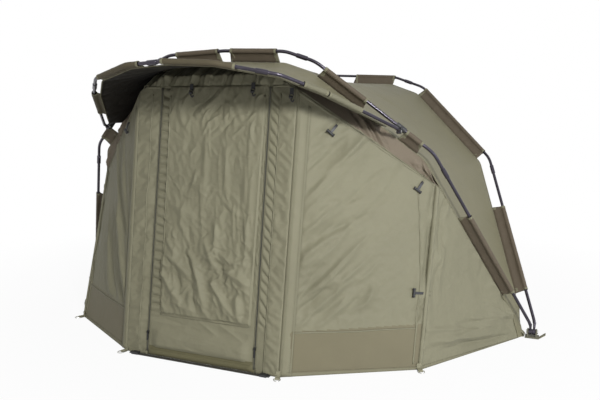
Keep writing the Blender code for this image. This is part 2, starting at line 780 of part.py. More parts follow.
def between(rib_a, edge_a, span_a, rib_b, edge_b, span_b, sag, rows, count):
    """A panel stretched between two ribs, each column running from the first rib to the second."""
    columns = []
    fixed = {}
    other = [(m - span_b[0]) / (span_b[1] - span_b[0]) for m in rib_b.stations(*span_b)[1:-1]]
    for share in merged(rib_a, *span_a, other, count):
        first = span_a[0] + (span_a[1] - span_a[0]) * share
        second = span_b[0] + (span_b[1] - span_b[0]) * share
        low, low_out = edge_a(first)
        high, high_out = edge_b(second)
        inward = -(rib_a.outward(first) + rib_b.outward(second)).normalized()
        columns.append(join(low, high, rows, inward * (sag * math.sin(math.pi * share))))
        fixed[key(low)] = low_out
        fixed[key(high)] = high_out
    return columns, fixed


def rear_panel():
    """The back of the canopy, from the rear rib's seam down to the hem, each column running upwards."""
    spots = [(CANOPY_START, Vector((-(HALF_SPAN - HUB_TUCK), HUB_TUCK_FORWARD, 0)))]
    spots.append((REAR.where_x(-BACK_TOP_SHARE * HALF_SPAN), hem_corner(BACK_CORNER_SHARES, LEFT, REAR_DEPTH)))
    spots.append((REAR.where_x(-TAIL_TOP_SHARE * HALF_SPAN), hem_corner(TAIL_CORNER_SHARES, LEFT, REAR_DEPTH)))
    spots += [(REAR.length - s, other_side(p)) for s, p in spots[::-1]]
    columns = []
    fixed = {}
    corners = [s for s, _ in spots]
    start, end = corners[0], corners[-1]
    other = [(s - start) / (end - start) for s in corners[1:-1]]
    for share in merged(REAR, start, end, other, 18):
        distance = start + (end - start) * share
        index = max(k for k in range(len(spots) - 1) if spots[k][0] <= distance + FIT_GAP)
        (s0, p0), (s1, p1) = spots[index], spots[index + 1]
        low = p0.lerp(p1, min(max((distance - s0) / (s1 - s0), 0.0), 1.0))
        high = seam(REAR, distance, SLEEVE_DROP, -1)
        columns.append(join(low, high, 6, Vector((0, -REAR_SAG * math.sin(math.pi * share), 0))))
        fixed[key(high)] = REAR.outward(distance)
    return columns[::-1], fixed


# Rings, loops and small fittings

def loop_solid(bar, out, across, reach):
    """A webbing loop from the cloth round a ring's bar."""
    bore = RING_WIRE + LOOP_SLACK
    half = LOOP_WALL
    angles, inner_r, outer_r = lollipop(bore, LOOP_WALL, half, 8)
    up = across.cross(out)
    rings = []
    bm = bmesh.new()
    for end in (-LOOP_WIDTH / 2, LOOP_WIDTH / 2):
        centre = bar + across * end
        outer = [bm.verts.new(centre + out * (outer_r * math.cos(t)) + up * (outer_r * math.sin(t))) for t in angles]
        inner = [bm.verts.new(centre + out * (inner_r * math.cos(t)) + up * (inner_r * math.sin(t))) for t in angles]
        foot = [bm.verts.new(centre - out * reach + up * (half * s)) for s in (1, -1)]
        rings.append((outer, inner, foot))
    (o0, i0, f0), (o1, i1, f1) = rings
    for low, high in ((i0 + i0[:1], i1 + i1[:1]), (f0[1:] + o0 + f0[:1] + f0[1:], f1[1:] + o1 + f1[:1] + f1[1:])):
        for a, b, c, d in zip(low, low[1:], high[1:], high):
            bm.faces.new((a, b, c, d))
    for outer, inner, foot in rings:
        loop = outer + outer[:1]
        core = inner + inner[:1]
        for a, b, c, d in zip(loop, loop[1:], core[1:], core):
            bm.faces.new((a, b, c, d))
        bm.faces.new((outer[0], outer[-1], foot[0], foot[1]))
    return bm


def ring_path():
    """The D ring's centre line as (across, out) pairs: the bar inside the loop and the bow."""
    half = LOOP_WIDTH / 2 + RING_SHOULDER
    points = [(-half, 0.0), (0.0, 0.0), (half, 0.0)]
    for step in range(1, RING_STEPS):
        angle = math.pi * step / RING_STEPS
        points.append((half * math.cos(angle), RING_DEPTH * math.sin(angle) ** 0.7))
    return points


def d_ring(bar, out, across):
    flat = [bar + across * a + out * o for a, o in ring_path()]
    up = across.cross(out)
    rings = []
    for before, here, after in zip(flat[-1:] + flat, flat, flat[1:] + flat[:1]):
        tangent = ((here - before).normalized() + (after - here).normalized()).normalized()
        lean = (after - here).normalized().dot(tangent)
        rings.append(ring(here, tangent.cross(up) / lean, up, RING_WIRE, RING_SIDES))
    return skin(bmesh.new(), rings, closed=True)


LOOP_HEIGHT = RING_WIRE + LOOP_SLACK + LOOP_WALL + FIT_GAP


def corner_out(before, corner, after):
    """The level direction out of a hem corner and half the corner's turn."""
    first, second = (corner - before).normalized(), (after - corner).normalized()
    out = (first - second).normalized()
    return out, first.angle(second) / 2


def ring_places():
    """Each left ring's name, cloth, bar centre, outward direction and the depth of its loop's foot."""
    start = Vector((-(HALF_SPAN - HUB_TUCK), 0, 0))
    back = hem_corner(BACK_CORNER_SHARES, LEFT, REAR_DEPTH)
    tail = hem_corner(TAIL_CORNER_SHARES, LEFT, REAR_DEPTH)
    panel_out = level((INNER - OUTER).cross(Z))
    inset = (INNER - OUTER).normalized() * (LOOP_WIDTH * 0.6)
    places = [("front_ring_outer", "front_panel", OUTER + inset, panel_out, 0.0)]
    places.append(("front_ring_inner", "front_panel", INNER, *corner_out(OUTER, INNER, other_side(INNER))))
    places.append(("rear_ring_outer", "rear_panel", back, *corner_out(start, back, tail)))
    places.append(("rear_ring_inner", "rear_panel", tail, *corner_out(back, tail, other_side(tail))))
    made = []
    for name, panel, spot, out, turn in places:
        bar = spot + out * (CLOTH / 2 + LOOP_REACH) + Z * LOOP_HEIGHT
        made.append((name, panel, bar, out, LOOP_SINK + LOOP_WIDTH / 2 * math.tan(turn)))
    return made


def wall_frame(u, v):
    """A point on the left front panel's outer face, with its outward and upward directions."""
    low, high = OUTER.lerp(INNER, u), WING_PEAK.lerp(FACET_PEAK, u)
    point = low.lerp(high, v)
    up = (high - low).normalized()
    across = (OUTER.lerp(INNER, 1.0).lerp(FACET_PEAK, v) - OUTER.lerp(WING_PEAK, v)).normalized()
    out = across.cross(up)
    out = (out if out.y < 0 else -out).normalized()
    return point + out * (CLOTH / 2 + TOGGLE_STAND_OFF), out, up


def toggle(point, out, up):
    """A bar on an elastic stem that hangs from the wall; the point is where the stem is sewn on."""
    across = up.cross(out).normalized()
    stem_centre = point - up * (TOGGLE_STEM / 2) + out * (TOGGLE_STEM_DEPTH / 2)
    stem = block(stem_centre, across, out, up, (TOGGLE_STEM_WIDTH, TOGGLE_STEM_DEPTH, TOGGLE_STEM))
    centre = point - up * TOGGLE_STEM + out * TOGGLE_RADIUS
    bar = rod(centre - across * (TOGGLE_BAR / 2), centre + across * (TOGGLE_BAR / 2), TOGGLE_RADIUS, 10)
    return unite(bar, stem)


TOGGLE_PLACES = {
    "toggle_upper_left": (LEFT, 0.74, 0.965),
    "toggle_upper_right": (RIGHT, 0.74, 0.965),
    "toggle_corner_right": (RIGHT, 0.13, 0.965),
    "toggle_window_right": (RIGHT, 0.10, 0.42),
}


def zip_frame():
    """The left zip at the slider: a point on the cloth's outer face, with outward and upward directions."""
    up = (ZIP_PEAK - ZIP_FOOT).normalized()
    out = X.cross(up)
    out = out if out.y < 0 else -out
    return ZIP_FOOT + up * SLIDER_HEIGHT + out * (CLOTH / 2 + SLIDER_STAND_OFF), out, up


def slider():
    point, out, up = zip_frame()
    body = block(point + out * (SLIDER_DEPTH / 2), X, out, up, (SLIDER_WIDTH, SLIDER_DEPTH, SLIDER_LENGTH))
    parts = [body]
    bar_at = point + out * (SLIDER_DEPTH + SLIDER_EAR_DEPTH / 2)
    for side in (LEFT, RIGHT):
        place = point + X * (side * (SLIDER_WIDTH - SLIDER_EAR) / 2)
        depth = SLIDER_EAR_DEPTH + SLIDER_DEPTH / 2
        ear = block(place + out * (SLIDER_DEPTH / 2 + depth / 2), X, out, up, (SLIDER_EAR, depth, SLIDER_LENGTH / 2))
        parts.append(ear)
    half = X * (SLIDER_WIDTH / 2 - SLIDER_EAR / 2)
    parts.append(rod(bar_at - half, bar_at + half, SLIDER_BAR_RADIUS, 8))
    return unite(*parts), bar_at


def pull(bar_at):
    """The pull tab: a plate with a rolled end round the slider's bar, hanging down."""
    _, out, up = zip_frame()
    down = -up
    bore = SLIDER_BAR_RADIUS + FIT_GAP
    width = SLIDER_WIDTH - 2 * SLIDER_EAR - 2 * FIT_GAP
    angles, inner_r, outer_r = lollipop(bore, PULL_WALL, PULL_WALL, 8)
    side = X.cross(up)
    bm = bmesh.new()
    rows = []
    for end in (-width / 2, width / 2):
        centre = bar_at + X * end
        outer = [bm.verts.new(centre + up * (outer_r * math.cos(t)) + side * (outer_r * math.sin(t))) for t in angles]
        inner = [bm.verts.new(centre + up * (inner_r * math.cos(t)) + side * (inner_r * math.sin(t))) for t in angles]
        foot = [bm.verts.new(centre + down * PULL_LENGTH + side * (PULL_WALL * s)) for s in (1, -1)]
        rows.append((outer, inner, foot))
    (o0, i0, f0), (o1, i1, f1) = rows
    for low, high in ((i0 + i0[:1], i1 + i1[:1]), (f0[1:] + o0 + f0[:1] + f0[1:], f1[1:] + o1 + f1[:1] + f1[1:])):
        for a, b, c, d in zip(low, low[1:], high[1:], high):
            bm.faces.new((a, b, c, d))
    for outer, inner, foot in rows:
        loop, core = outer + outer[:1], inner + inner[:1]
        for a, b, c, d in zip(loop, loop[1:], core[1:], core):
            bm.faces.new((a, b, c, d))
        bm.faces.new((outer[0], outer[-1], foot[0], foot[1]))
    return bm


STRAP_Y = -FRONT_DEPTH - CLOTH / 2 - FIT_GAP - BUCKLE_WIDTH / 2
TONGUE_OUT = abs(INNER.x) - TONGUE_CLEAR
BUCKLE_OUTER = TONGUE_OUT - (TONGUE_LENGTH - TONGUE_INSERT)
STRAP_HALF = BUCKLE_OUTER - BUCKLE_LENGTH - FIT_GAP
TONGUE_WIDTH = BUCKLE_WIDTH - 2 * BUCKLE_WALL - 2 * FIT_GAP
TONGUE_THICKNESS = BUCKLE_HEIGHT - 2 * BUCKLE_WALL - 2 * FIT_GAP


def buckle():
    """The socket half of the left buckle, flat on the ground, its mouth towards the corner."""
    centre = Vector((-(BUCKLE_OUTER - BUCKLE_LENGTH / 2), STRAP_Y, BUCKLE_HEIGHT / 2))
    shell = block(centre, X, Y, Z, (BUCKLE_LENGTH, BUCKLE_WIDTH, BUCKLE_HEIGHT))
    depth = TONGUE_INSERT + BUCKLE_WALL
    hollow = Vector((-(BUCKLE_OUTER + OVERRUN / 2 - depth / 2), STRAP_Y, BUCKLE_HEIGHT / 2))
    size = (depth + OVERRUN, BUCKLE_WIDTH - 2 * BUCKLE_WALL, BUCKLE_HEIGHT - 2 * BUCKLE_WALL)
    return cut(shell, block(hollow, X, Y, Z, size))


def tongue():
    """The left buckle's tongue: a body with two prongs in the socket and a bar for its webbing."""
    centre = Vector((-(TONGUE_OUT - TONGUE_LENGTH / 2), STRAP_Y, BUCKLE_HEIGHT / 2))
    plate = block(centre, X, Y, Z, (TONGUE_LENGTH, TONGUE_WIDTH, TONGUE_THICKNESS))
    notch_at = Vector((-(BUCKLE_OUTER - TONGUE_INSERT / 2 - OVERRUN / 2), STRAP_Y, BUCKLE_HEIGHT / 2))
    notch = block(notch_at, X, Y, Z, (TONGUE_INSERT + OVERRUN, TONGUE_WIDTH / 3, BUCKLE_HEIGHT))
    return cut(plate, notch)


# Hubs and brackets

def hub():
    """The left hub: a foot with two ears drilled for the bolt."""
    centre = Vector((-HALF_SPAN, 0, 0))
    base = block(centre + Z * (HUB_BASE_HEIGHT / 2), X, Y, Z, (HUB_BASE_LENGTH, HUB_BASE_WIDTH, HUB_BASE_HEIGHT))
    parts = [base]
    offset = EYE_PITCH + FIT_GAP + EAR_WIDTH / 2
    for side in (LEFT, RIGHT):
        middle = centre + X * (side * offset)
        outline = []
        for step in range(ROUND_SIDES // 2 + 1):
            angle = math.pi * step / (ROUND_SIDES // 2)
            outline.append(middle + Y * (EAR_RADIUS * math.cos(angle)) + Z * (PIVOT_HEIGHT + EAR_RADIUS * math.sin(angle)))
        foot = HUB_BASE_HEIGHT / 2
        outline += [middle - Y * (HUB_BASE_WIDTH * 0.45) + Z * foot, middle + Y * (HUB_BASE_WIDTH * 0.45) + Z * foot]
        parts.append(slab(outline, X, EAR_WIDTH))
    reach = X * (offset + EAR_WIDTH + OVERRUN)
    drill = rod(centre + Z * PIVOT_HEIGHT - reach, centre + Z * PIVOT_HEIGHT + reach, BOLT_RADIUS + FIT_GAP)
    return cut(unite(*parts), drill)


def bolt():
    """The left hub bolt, headed at both ends."""
    half = EYE_PITCH + 2 * FIT_GAP + EAR_WIDTH
    centre = Vector((-HALF_SPAN, 0, PIVOT_HEIGHT))
    start = centre - X * (half + BOLT_HEAD_HEIGHT)
    end = centre + X * (half + BOLT_HEAD_HEIGHT)
    length = (end - start).length
    steps = ((0.0, BOLT_HEAD_RADIUS), (BOLT_HEAD_HEIGHT, BOLT_HEAD_RADIUS), (BOLT_HEAD_HEIGHT, BOLT_RADIUS),
             (length - BOLT_HEAD_HEIGHT, BOLT_RADIUS), (length - BOLT_HEAD_HEIGHT, BOLT_HEAD_RADIUS),
             (length, BOLT_HEAD_RADIUS))
    return rod(start, end, BOLT_RADIUS, steps=steps)


def peg_tab():
    """The left pegging tab, flat on the ground beside the hub, with its eyelet."""
    inner = HALF_SPAN + HUB_BASE_LENGTH / 2 + FIT_GAP
    centre = Vector((-(inner + TAB_LENGTH / 2), 0, TAB_THICKNESS / 2))
    tab = block(centre, X, Y, Z, (TAB_LENGTH, TAB_WIDTH, TAB_THICKNESS))
    eyelet = Vector((-(inner + TAB_LENGTH - EYELET_INSET), 0, 0))
    return cut(tab, rod(eyelet - Z * OVERRUN, eyelet + Z * OVERRUN, EYELET_RADIUS, 12))


FORK_OFFSET = VISOR_EYE_WIDTH / 2 + FIT_GAP + FORK_PLATE / 2


def bracket():
    """The left visor bracket: a collar on the front rib with a forked lug for the visor's eye."""
    centre = FRONT.at(JUNCTION_AT)
    along = FRONT.direction(JUNCTION_AT)
    half = along * (BRACKET_LENGTH / 2)
    parts = [rod(centre - half, centre + half, BRACKET_RADIUS)]
    for side in (LEFT, RIGHT):
        middle = Vector((PIN.x + side * FORK_OFFSET, PIN.y, PIN.z))
        back = centre + X * (side * FORK_OFFSET)
        up = FRONT.out * FORK_RADIUS
        outline = [back - up, back + up]
        for step in range(ROUND_SIDES // 2 + 1):
            angle = math.pi * step / (ROUND_SIDES // 2)
            outline.append(middle + up * math.cos(angle) + FRONT.forward * (FORK_RADIUS * math.sin(angle)))
        parts.append(slab(outline, X, FORK_PLATE))
    reach = along * (BRACKET_LENGTH / 2 + OVERRUN)
    across = X * (FORK_OFFSET + FORK_PLATE + OVERRUN)
    bore = rod(centre - reach, centre + reach, POLE_RADIUS + FIT_GAP)
    drill = rod(PIN - across, PIN + across, VISOR_PIN_RADIUS + FIT_GAP)
    return cut(unite(*parts), bore, drill)


def visor_pin():
    half = FORK_OFFSET + FORK_PLATE / 2 + FIT_GAP
    start = PIN - X * (half + PIN_HEAD)
    end = PIN + X * (half + PIN_HEAD)
    length = (end - start).length
    head = VISOR_PIN_RADIUS * 1.8
    steps = ((0.0, head), (PIN_HEAD, head), (PIN_HEAD, VISOR_PIN_RADIUS), (length - PIN_HEAD, VISOR_PIN_RADIUS),
             (length - PIN_HEAD, head), (length, head))
    return rod(start, end, VISOR_PIN_RADIUS, 12, steps)


# The model

def clear_scene():
    for old in list(bpy.data.objects):
        bpy.data.objects.remove(old)


def centre_on_origin():
    """Everything was drawn round the hub axis; the footprint's middle goes to the origin."""
    bpy.context.view_layer.update()
    depths = [(made.matrix_world @ Vector(corner)).y for made in bpy.data.objects for corner in made.bound_box]
    shift = (min(depths) + max(depths)) / 2
    for made in bpy.data.objects:
        made.location.y -= shift
    return shift


def main():
    clear_scene()
    axis = Z * PIVOT_HEIGHT
    add_pair("hub", hub, "plastic", Vector((-HALF_SPAN, 0, 0)))
    add_pair("hub_bolt", bolt, "steel", Vector((-HALF_SPAN, 0, PIVOT_HEIGHT)))
    add_pair("peg_tab", peg_tab, "webbing", Vector((-HALF_SPAN, 0, 0)))

    hub_eye = (ARM_LENGTH, EYE_RADIUS, EYE_PITCH - FIT_GAP, ARM_WIDTH, BOLT_RADIUS + FIT_GAP)
    visor_eye = (VISOR_ARM_LENGTH, VISOR_EYE_RADIUS, VISOR_EYE_WIDTH, VISOR_EYE_WIDTH - 2 * FIT_GAP,
                 VISOR_PIN_RADIUS + FIT_GAP)
    add_rib("front", FRONT, FRONT_JOINT_SHARES, hub_eye, axis)
    add_rib("rear", REAR, REAR_JOINT_SHARES, hub_eye, axis)
    add_visor_rib(visor_eye, VISOR_BASE)
    add_pair("visor_bracket", bracket, "plastic", axis)
    add_pair("visor_pin", visor_pin, "steel", VISOR_BASE)

    front_sleeves = sleeve_spans(FRONT, FRONT_SLEEVE_SHARES, HALF_SPAN)
    rear_sleeves = sleeve_spans(REAR, REAR_SLEEVE_SHARES, HALF_SPAN)
    visor_sleeves = [tuple(VISOR.where_x(share * JUNCTION_X) for share in span) for span in VISOR_SLEEVE_SHARES]
    ends = (CANOPY_START, FRONT.length - CANOPY_START)
    rear_ends = (CANOPY_START, REAR.length - CANOPY_START)
    visor_ends = (VISOR_START, VISOR.length - VISOR_START)
    add("front_sleeve_band", band(FRONT, SLEEVE_DROP, front_sleeves, *ends), "dark_cloth", axis)
    add("rear_sleeve_band", band(REAR, SLEEVE_DROP, rear_sleeves, *rear_ends), "dark_cloth", axis)
    add("visor_sleeve_band", band(VISOR, VISOR_SLEEVE_DROP, visor_sleeves, *visor_ends), "dark_cloth", VISOR_BASE)

    loops = {}
    for name, panel, bar, out, sink in ring_places():
        for side_name, side in SIDES.items():
            place = bar if side == LEFT else other_side(bar)
            facing = out if side == LEFT else other_side(out)
            aside = Z.cross(facing)
            owner = panel if panel == "rear_panel" else f"{panel}_{side_name}"
            loops.setdefault(owner, []).append(loop_solid(place, facing, aside, LOOP_REACH + sink))
            add(f"{name}_{side_name}", d_ring(place, facing, aside), "steel", place)

    panels, outward = front_wall()
    sewn = {"wing": (False, True, False, False), "front_panel": (True, True, False, True),
            "vent": (False, True, True, False), "door": (True, True, False, True), "header": (True, True, True, False)}
    for name, columns in panels.items():
        kind, _, side_name = name.rpartition("_")
        edges = sewn[kind or name]
        if side_name == "right":
            edges = (edges[1], edges[0], edges[2], edges[3])
        solid = cloth(columns, outward, edges)
        solid = unite(solid, *loops.get(name, []))
        add(name if kind else f"{name}_panel", solid, "dark_cloth" if kind == "vent" else "cloth", axis)

    roof, fixed = between(FRONT, beside(FRONT, SLEEVE_DROP, -1), ends, REAR, beside(REAR, SLEEVE_DROP, 1), rear_ends,
                          ROOF_SAG, 4, 18)
    add("roof_panel", cloth(roof, directions({"roof": roof}, fixed), (False,) * 4), "cloth", axis)

    first = JUNCTION_AT + VISOR_START
    span = (first, FRONT.length - first)
    lift = CLOTH + 2 * FIT_GAP
    visor, fixed = between(VISOR, below(VISOR, VISOR_SLEEVE_DROP), visor_ends, FRONT,
                           beside(FRONT, SLEEVE_DROP, 1, lift), span, VISOR_SAG, 4, 16)
    add("visor_panel", cloth(visor, directions({"visor": visor}, fixed), (False,) * 4), "cloth", VISOR_BASE)

    back, fixed = rear_panel()
    outward = directions({"back": back}, fixed)
    for column in back:
        outward[key(column[0])] = level(outward[key(column[0])])
    add("rear_panel", unite(cloth(back, outward, (False,) * 4), *loops["rear_panel"]), "cloth")

    for side_name, side in SIDES.items():
        solid, bar_at = slider()
        tab = pull(bar_at)
        if side == RIGHT:
            solid, tab, bar_at = mirrored(solid), mirrored(tab), other_side(bar_at)
        add(f"zip_slider_{side_name}", solid, "steel", bar_at)
        add(f"zip_pull_{side_name}", tab, "steel", bar_at)

    for name, (side, u, v) in TOGGLE_PLACES.items():
        point, out, up = wall_frame(u, v)
        solid = toggle(point, out, up)
        if side == RIGHT:
            solid, point = mirrored(solid), other_side(point)
        add(name, solid, "plastic", point)

    strap = block(Vector((0, STRAP_Y, STRAP_THICKNESS / 2)), X, Y, Z, (2 * STRAP_HALF, STRAP_WIDTH, STRAP_THICKNESS))
    add("sill_strap", strap, "webbing", Vector((0, STRAP_Y, 0)))
    add_pair("buckle", buckle, "plastic", Vector((-BUCKLE_OUTER, STRAP_Y, 0)))
    add_pair("buckle_tongue", tongue, "plastic", Vector((-BUCKLE_OUTER, STRAP_Y, 0)))
    centre_on_origin()


main()
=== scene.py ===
"""Dresses the bivvy tent: nylon canopy and front wall, sleeves, poles, zips, seams and small fittings."""

import functools
import json
import math

import bmesh
import bpy
import numpy as np
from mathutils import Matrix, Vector


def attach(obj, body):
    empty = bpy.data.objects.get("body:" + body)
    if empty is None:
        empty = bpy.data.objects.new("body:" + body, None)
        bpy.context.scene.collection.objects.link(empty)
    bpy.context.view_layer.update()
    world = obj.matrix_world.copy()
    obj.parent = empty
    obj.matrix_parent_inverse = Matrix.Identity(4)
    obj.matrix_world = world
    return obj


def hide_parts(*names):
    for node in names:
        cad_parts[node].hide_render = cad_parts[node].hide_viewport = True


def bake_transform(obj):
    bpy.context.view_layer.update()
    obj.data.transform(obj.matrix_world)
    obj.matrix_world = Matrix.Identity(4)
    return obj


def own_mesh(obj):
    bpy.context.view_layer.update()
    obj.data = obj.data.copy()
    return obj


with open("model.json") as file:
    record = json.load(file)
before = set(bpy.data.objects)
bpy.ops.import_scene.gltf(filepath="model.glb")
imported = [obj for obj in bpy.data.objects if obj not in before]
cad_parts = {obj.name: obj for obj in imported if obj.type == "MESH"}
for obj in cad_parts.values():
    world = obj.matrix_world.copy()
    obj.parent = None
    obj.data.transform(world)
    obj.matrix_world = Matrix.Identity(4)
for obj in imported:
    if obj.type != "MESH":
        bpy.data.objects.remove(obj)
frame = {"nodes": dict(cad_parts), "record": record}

bl_info = {
    "name": "Bivvy Tent",
    "version": (1, 0, 0),
    "blender": (4, 5, 0),
    "location": "View3D > Sidebar > Tent",
    "description": "Builds a two-rib bivvy tent with a folding visor",
    "category": "Object",
}

JOINTS = {j["name"]: j for j in frame["record"]["behaviour"]["joints"]}
BODY_OF = {node: body for body, nodes in frame["record"]["behaviour"]["bodies"].items() for node in nodes}
HUB = np.array(JOINTS["rear_fold"]["pos_m"], float)
SHIFT = np.array((0.0, HUB[1], 0.0))

# Sizes that follow the frame, in metres and degrees
HALF_SPAN = 1.400
FRONT_REACH, REAR_REACH, VISOR_REACH = 1.569, 1.613, 0.697
FRONT_LEAN, REAR_LEAN, VISOR_RISE = 25.9, 32.5, 25.0
FRONT_DEPTH, REAR_DEPTH = 0.973, 1.430
# Corners of each rib's outline, as shares of the half span and of the reach
FRONT_SHARES = ((0.689, 0.665), (0.325, 0.958), (0.225, 0.992), (0.0, 1.0))
REAR_SHARES = ((0.770, 0.624), (0.440, 0.936), (0.298, 0.987), (0.0, 1.0))
VISOR_SHARES = ((0.729, 0.575), (0.563, 0.805), (0.258, 0.966), (0.0, 1.0))
EYE_PITCH, ARM, VISOR_ARM = 0.0176, 0.050, 0.034
POLE_RADIUS = 0.008
SLEEVE_DROP, VISOR_DROP = 0.058, 0.030
CANOPY_START, VISOR_START = 0.130, 0.075
JUNCTION_X = 0.583 * HALF_SPAN
PIN_OUT = 0.036
DOOR_HALF = 0.287
DOOR_TOP = 1.323
HEADER_OUT = np.array((0.0, -0.95, 0.31))
WALL_SLOPE = 0.155
WALL_OUT = (0.0, -0.9882, 0.1532)
CORNER_OUT = 0.034
CLOTH = 0.0012
SEAM_GAP = 0.0011
# Pole joints and sleeves, as shares of the half span
FRONT_JOINTS, REAR_JOINTS, VISOR_JOINTS = (0.722, 0.281), (0.788, 0.366), (-0.640, -0.080, 0.480)
FRONT_SLEEVES = ((0.024, 0.193), (0.352, 0.479), (0.600, 0.650), (0.791, 0.930))
REAR_SLEEVES = ((0.107, 0.300), (0.456, 0.749), (0.850, 0.965))
VISOR_SLEEVES = ((-0.880, -0.710), (-0.530, -0.170), (-0.020, 0.360), (0.650, 0.738), (0.742, 0.860))
X = np.array((1.0, 0.0, 0.0))
Y = np.array((0.0, 1.0, 0.0))
Z = np.array((0.0, 0.0, 1.0))


# Settings

class TentCloth(bpy.types.PropertyGroup):
    """Colours and creases of the cloth."""
    olive: bpy.props.FloatVectorProperty(name="Canopy", description="Colour of the coated nylon", size=3,
                                         subtype="COLOR", default=(0.217, 0.207, 0.138), min=0, max=1)
    taupe: bpy.props.FloatVectorProperty(name="Sleeves", description="Colour of the sleeves and vent bands",
                                         size=3, subtype="COLOR", default=(0.105, 0.085, 0.060), min=0, max=1)
    binding: bpy.props.FloatVectorProperty(name="Binding", description="Colour of the tapes and peg loops",
                                           size=3, subtype="COLOR", default=(0.200, 0.190, 0.125), min=0, max=1)
    crease: bpy.props.FloatProperty(name="Crease", description="Depth of the cloth's creases as a factor",
                                    default=1.0, min=0, max=2)
    grid: bpy.props.FloatProperty(name="Mesh", description="Spacing of the cloth's mesh", unit="LENGTH",
                                  default=0.0085, min=0.004, max=0.05)


class TentFrame(bpy.types.PropertyGroup):
    """The poles and their finish."""
    anodised: bpy.props.FloatVectorProperty(name="Poles", description="Colour of the anodised poles", size=3,
                                            subtype="COLOR", default=(0.030, 0.026, 0.036), min=0, max=1)
    plastic: bpy.props.FloatVectorProperty(name="Plastic", description="Colour of the moulded pieces", size=3,
                                           subtype="COLOR", default=(0.012, 0.012, 0.013), min=0, max=1)
    ferrule: bpy.props.FloatProperty(name="Ferrule", description="Radius of the pole joints", unit="LENGTH",
                                     default=0.0108, min=0.009, max=0.014)
    sleeve: bpy.props.FloatProperty(name="Sleeve", description="Radius of the sleeves round the poles",
                                    unit="LENGTH", default=0.0112, min=0.009, max=0.02)


class TentTrim(bpy.types.PropertyGroup):
    """Seams, zips and stitches."""
    stitch: bpy.props.FloatProperty(name="Stitch", description="Pitch of the stitches", unit="LENGTH",
                                    default=0.0075, min=0.003, max=0.02)
    tooth: bpy.props.FloatProperty(name="Zip tooth", description="Pitch of the zip's teeth", unit="LENGTH",
                                   default=0.0035, min=0.001, max=0.01)
    seam: bpy.props.FloatProperty(name="Seam", description="Width of the seam tapes", unit="LENGTH",
                                  default=0.014, min=0.005, max=0.03)


class TentStage(bpy.types.PropertyGroup):
    """Floor, lights and camera."""
    floor: bpy.props.FloatVectorProperty(name="Floor", description="Colour of the floor", size=3,
                                         subtype="COLOR", default=(0.72, 0.72, 0.72), min=0, max=1)
    key: bpy.props.FloatProperty(name="Key light", description="Power of the key light", unit="POWER",
                                 default=302.0, min=0, max=1000)
    fill: bpy.props.FloatProperty(name="Fill light", description="Power of the fill light", unit="POWER",
                                  default=16.0, min=0, max=1000)
    side: bpy.props.FloatProperty(name="Side light", description="Power of the light beside the tent",
                                  unit="POWER", default=51.3, min=0, max=1000)


# Numbers

def lattice(i, j, seed):
    """A fixed angle for each point of a grid, with no pattern to it."""
    n = (i.astype(np.int64) * 374761393 + j.astype(np.int64) * 668265263 + seed * 974634777) & 0x7FFFFFFF
    n = ((n ^ (n >> 13)) * 1274126177) & 0x7FFFFFFF
    return ((n ^ (n >> 16)) & 0xFFFF) / 65535 * 2 * math.pi


def noise(x, y, seed=0):
    """Smooth gradient noise between about -1 and 1."""
    x, y = np.broadcast_arrays(np.asarray(x, float), np.asarray(y, float))
    i, j = np.floor(x), np.floor(y)
    f, g = x - i, y - j
    total = 0.0
    for di in (0, 1):
        for dj in (0, 1):
            turn = lattice(i + di, j + dj, seed)
            reach = np.cos(turn) * (f - di) + np.sin(turn) * (g - dj)
            total = total + reach * ease(1 - abs(f - di)) * ease(1 - abs(g - dj))
    return total * 1.5


def ease(t):
    """A smooth rise from 0 to 1."""
    t = np.clip(t, 0, 1)
    return t * t * t * (t * (t * 6 - 15) + 10)


def ramp(value, low, high):
    """A smooth rise from 0 at low to 1 at high."""
    return ease((value - low) / (high - low))


def crumple(x, y, seed):
    """Sharp creases between softly bulging facets."""
    a = x + 0.45 * noise(x * 0.8, y * 0.8, seed + 1)
    b = y + 0.45 * noise(x * 0.8, y * 0.8, seed + 2)
    ridge = 1 - 2.2 * abs(noise(a, b, seed + 3))
    fine = 1 - 2.2 * abs(noise(a * 2.3, b * 2.3, seed + 4))
    return 0.65 * ridge + 0.30 * fine


def drawn(x, y, angle, pitch, length, seed):
    """Creases drawn out in one direction."""
    c, s = math.cos(angle), math.sin(angle)
    along, across = x * c + y * s, -x * s + y * c
    across = across + 0.25 * pitch * noise(along / length * 1.7, across / pitch * 0.6, seed + 5)
    return 1 - 2.2 * abs(noise(across / pitch, along / length, seed))


def unit(v):
    return v / np.maximum(np.linalg.norm(v, axis=-1, keepdims=True), 1e-12)


def flip(p):
    """Points mirrored to the other side of the tent."""
    return np.asarray(p) * (-1, 1, 1)


def marks_along(points):
    """How far each point of a chain lies from the first, along the chain."""
    return np.concatenate([[0.0], np.cumsum(np.linalg.norm(np.diff(points, axis=0), axis=1))])


# Ribs

def rounded(corners, radius, step=4.0):
    """The corners joined by straight runs and round bends."""
    made = [corners[0]]
    for before, corner, after in zip(corners, corners[1:], corners[2:]):
        back, ahead = before - corner, after - corner
        a, b = np.linalg.norm(back), np.linalg.norm(ahead)
        turn = math.pi - math.acos(max(-1.0, min(1.0, float(back @ ahead) / (a * b))))
        reach = min(radius * math.tan(turn / 2), a * 0.45, b * 0.45)
        start, end = corner + back / a * reach, corner + ahead / b * reach
        steps = max(2, round(math.degrees(turn) / step))
        for t in np.linspace(0, 1, steps + 1):
            made.append((start * (1 - t) + corner * t) * (1 - t) + (corner * (1 - t) + end * t) * t)
    made.append(corners[-1])
    return np.array(made)


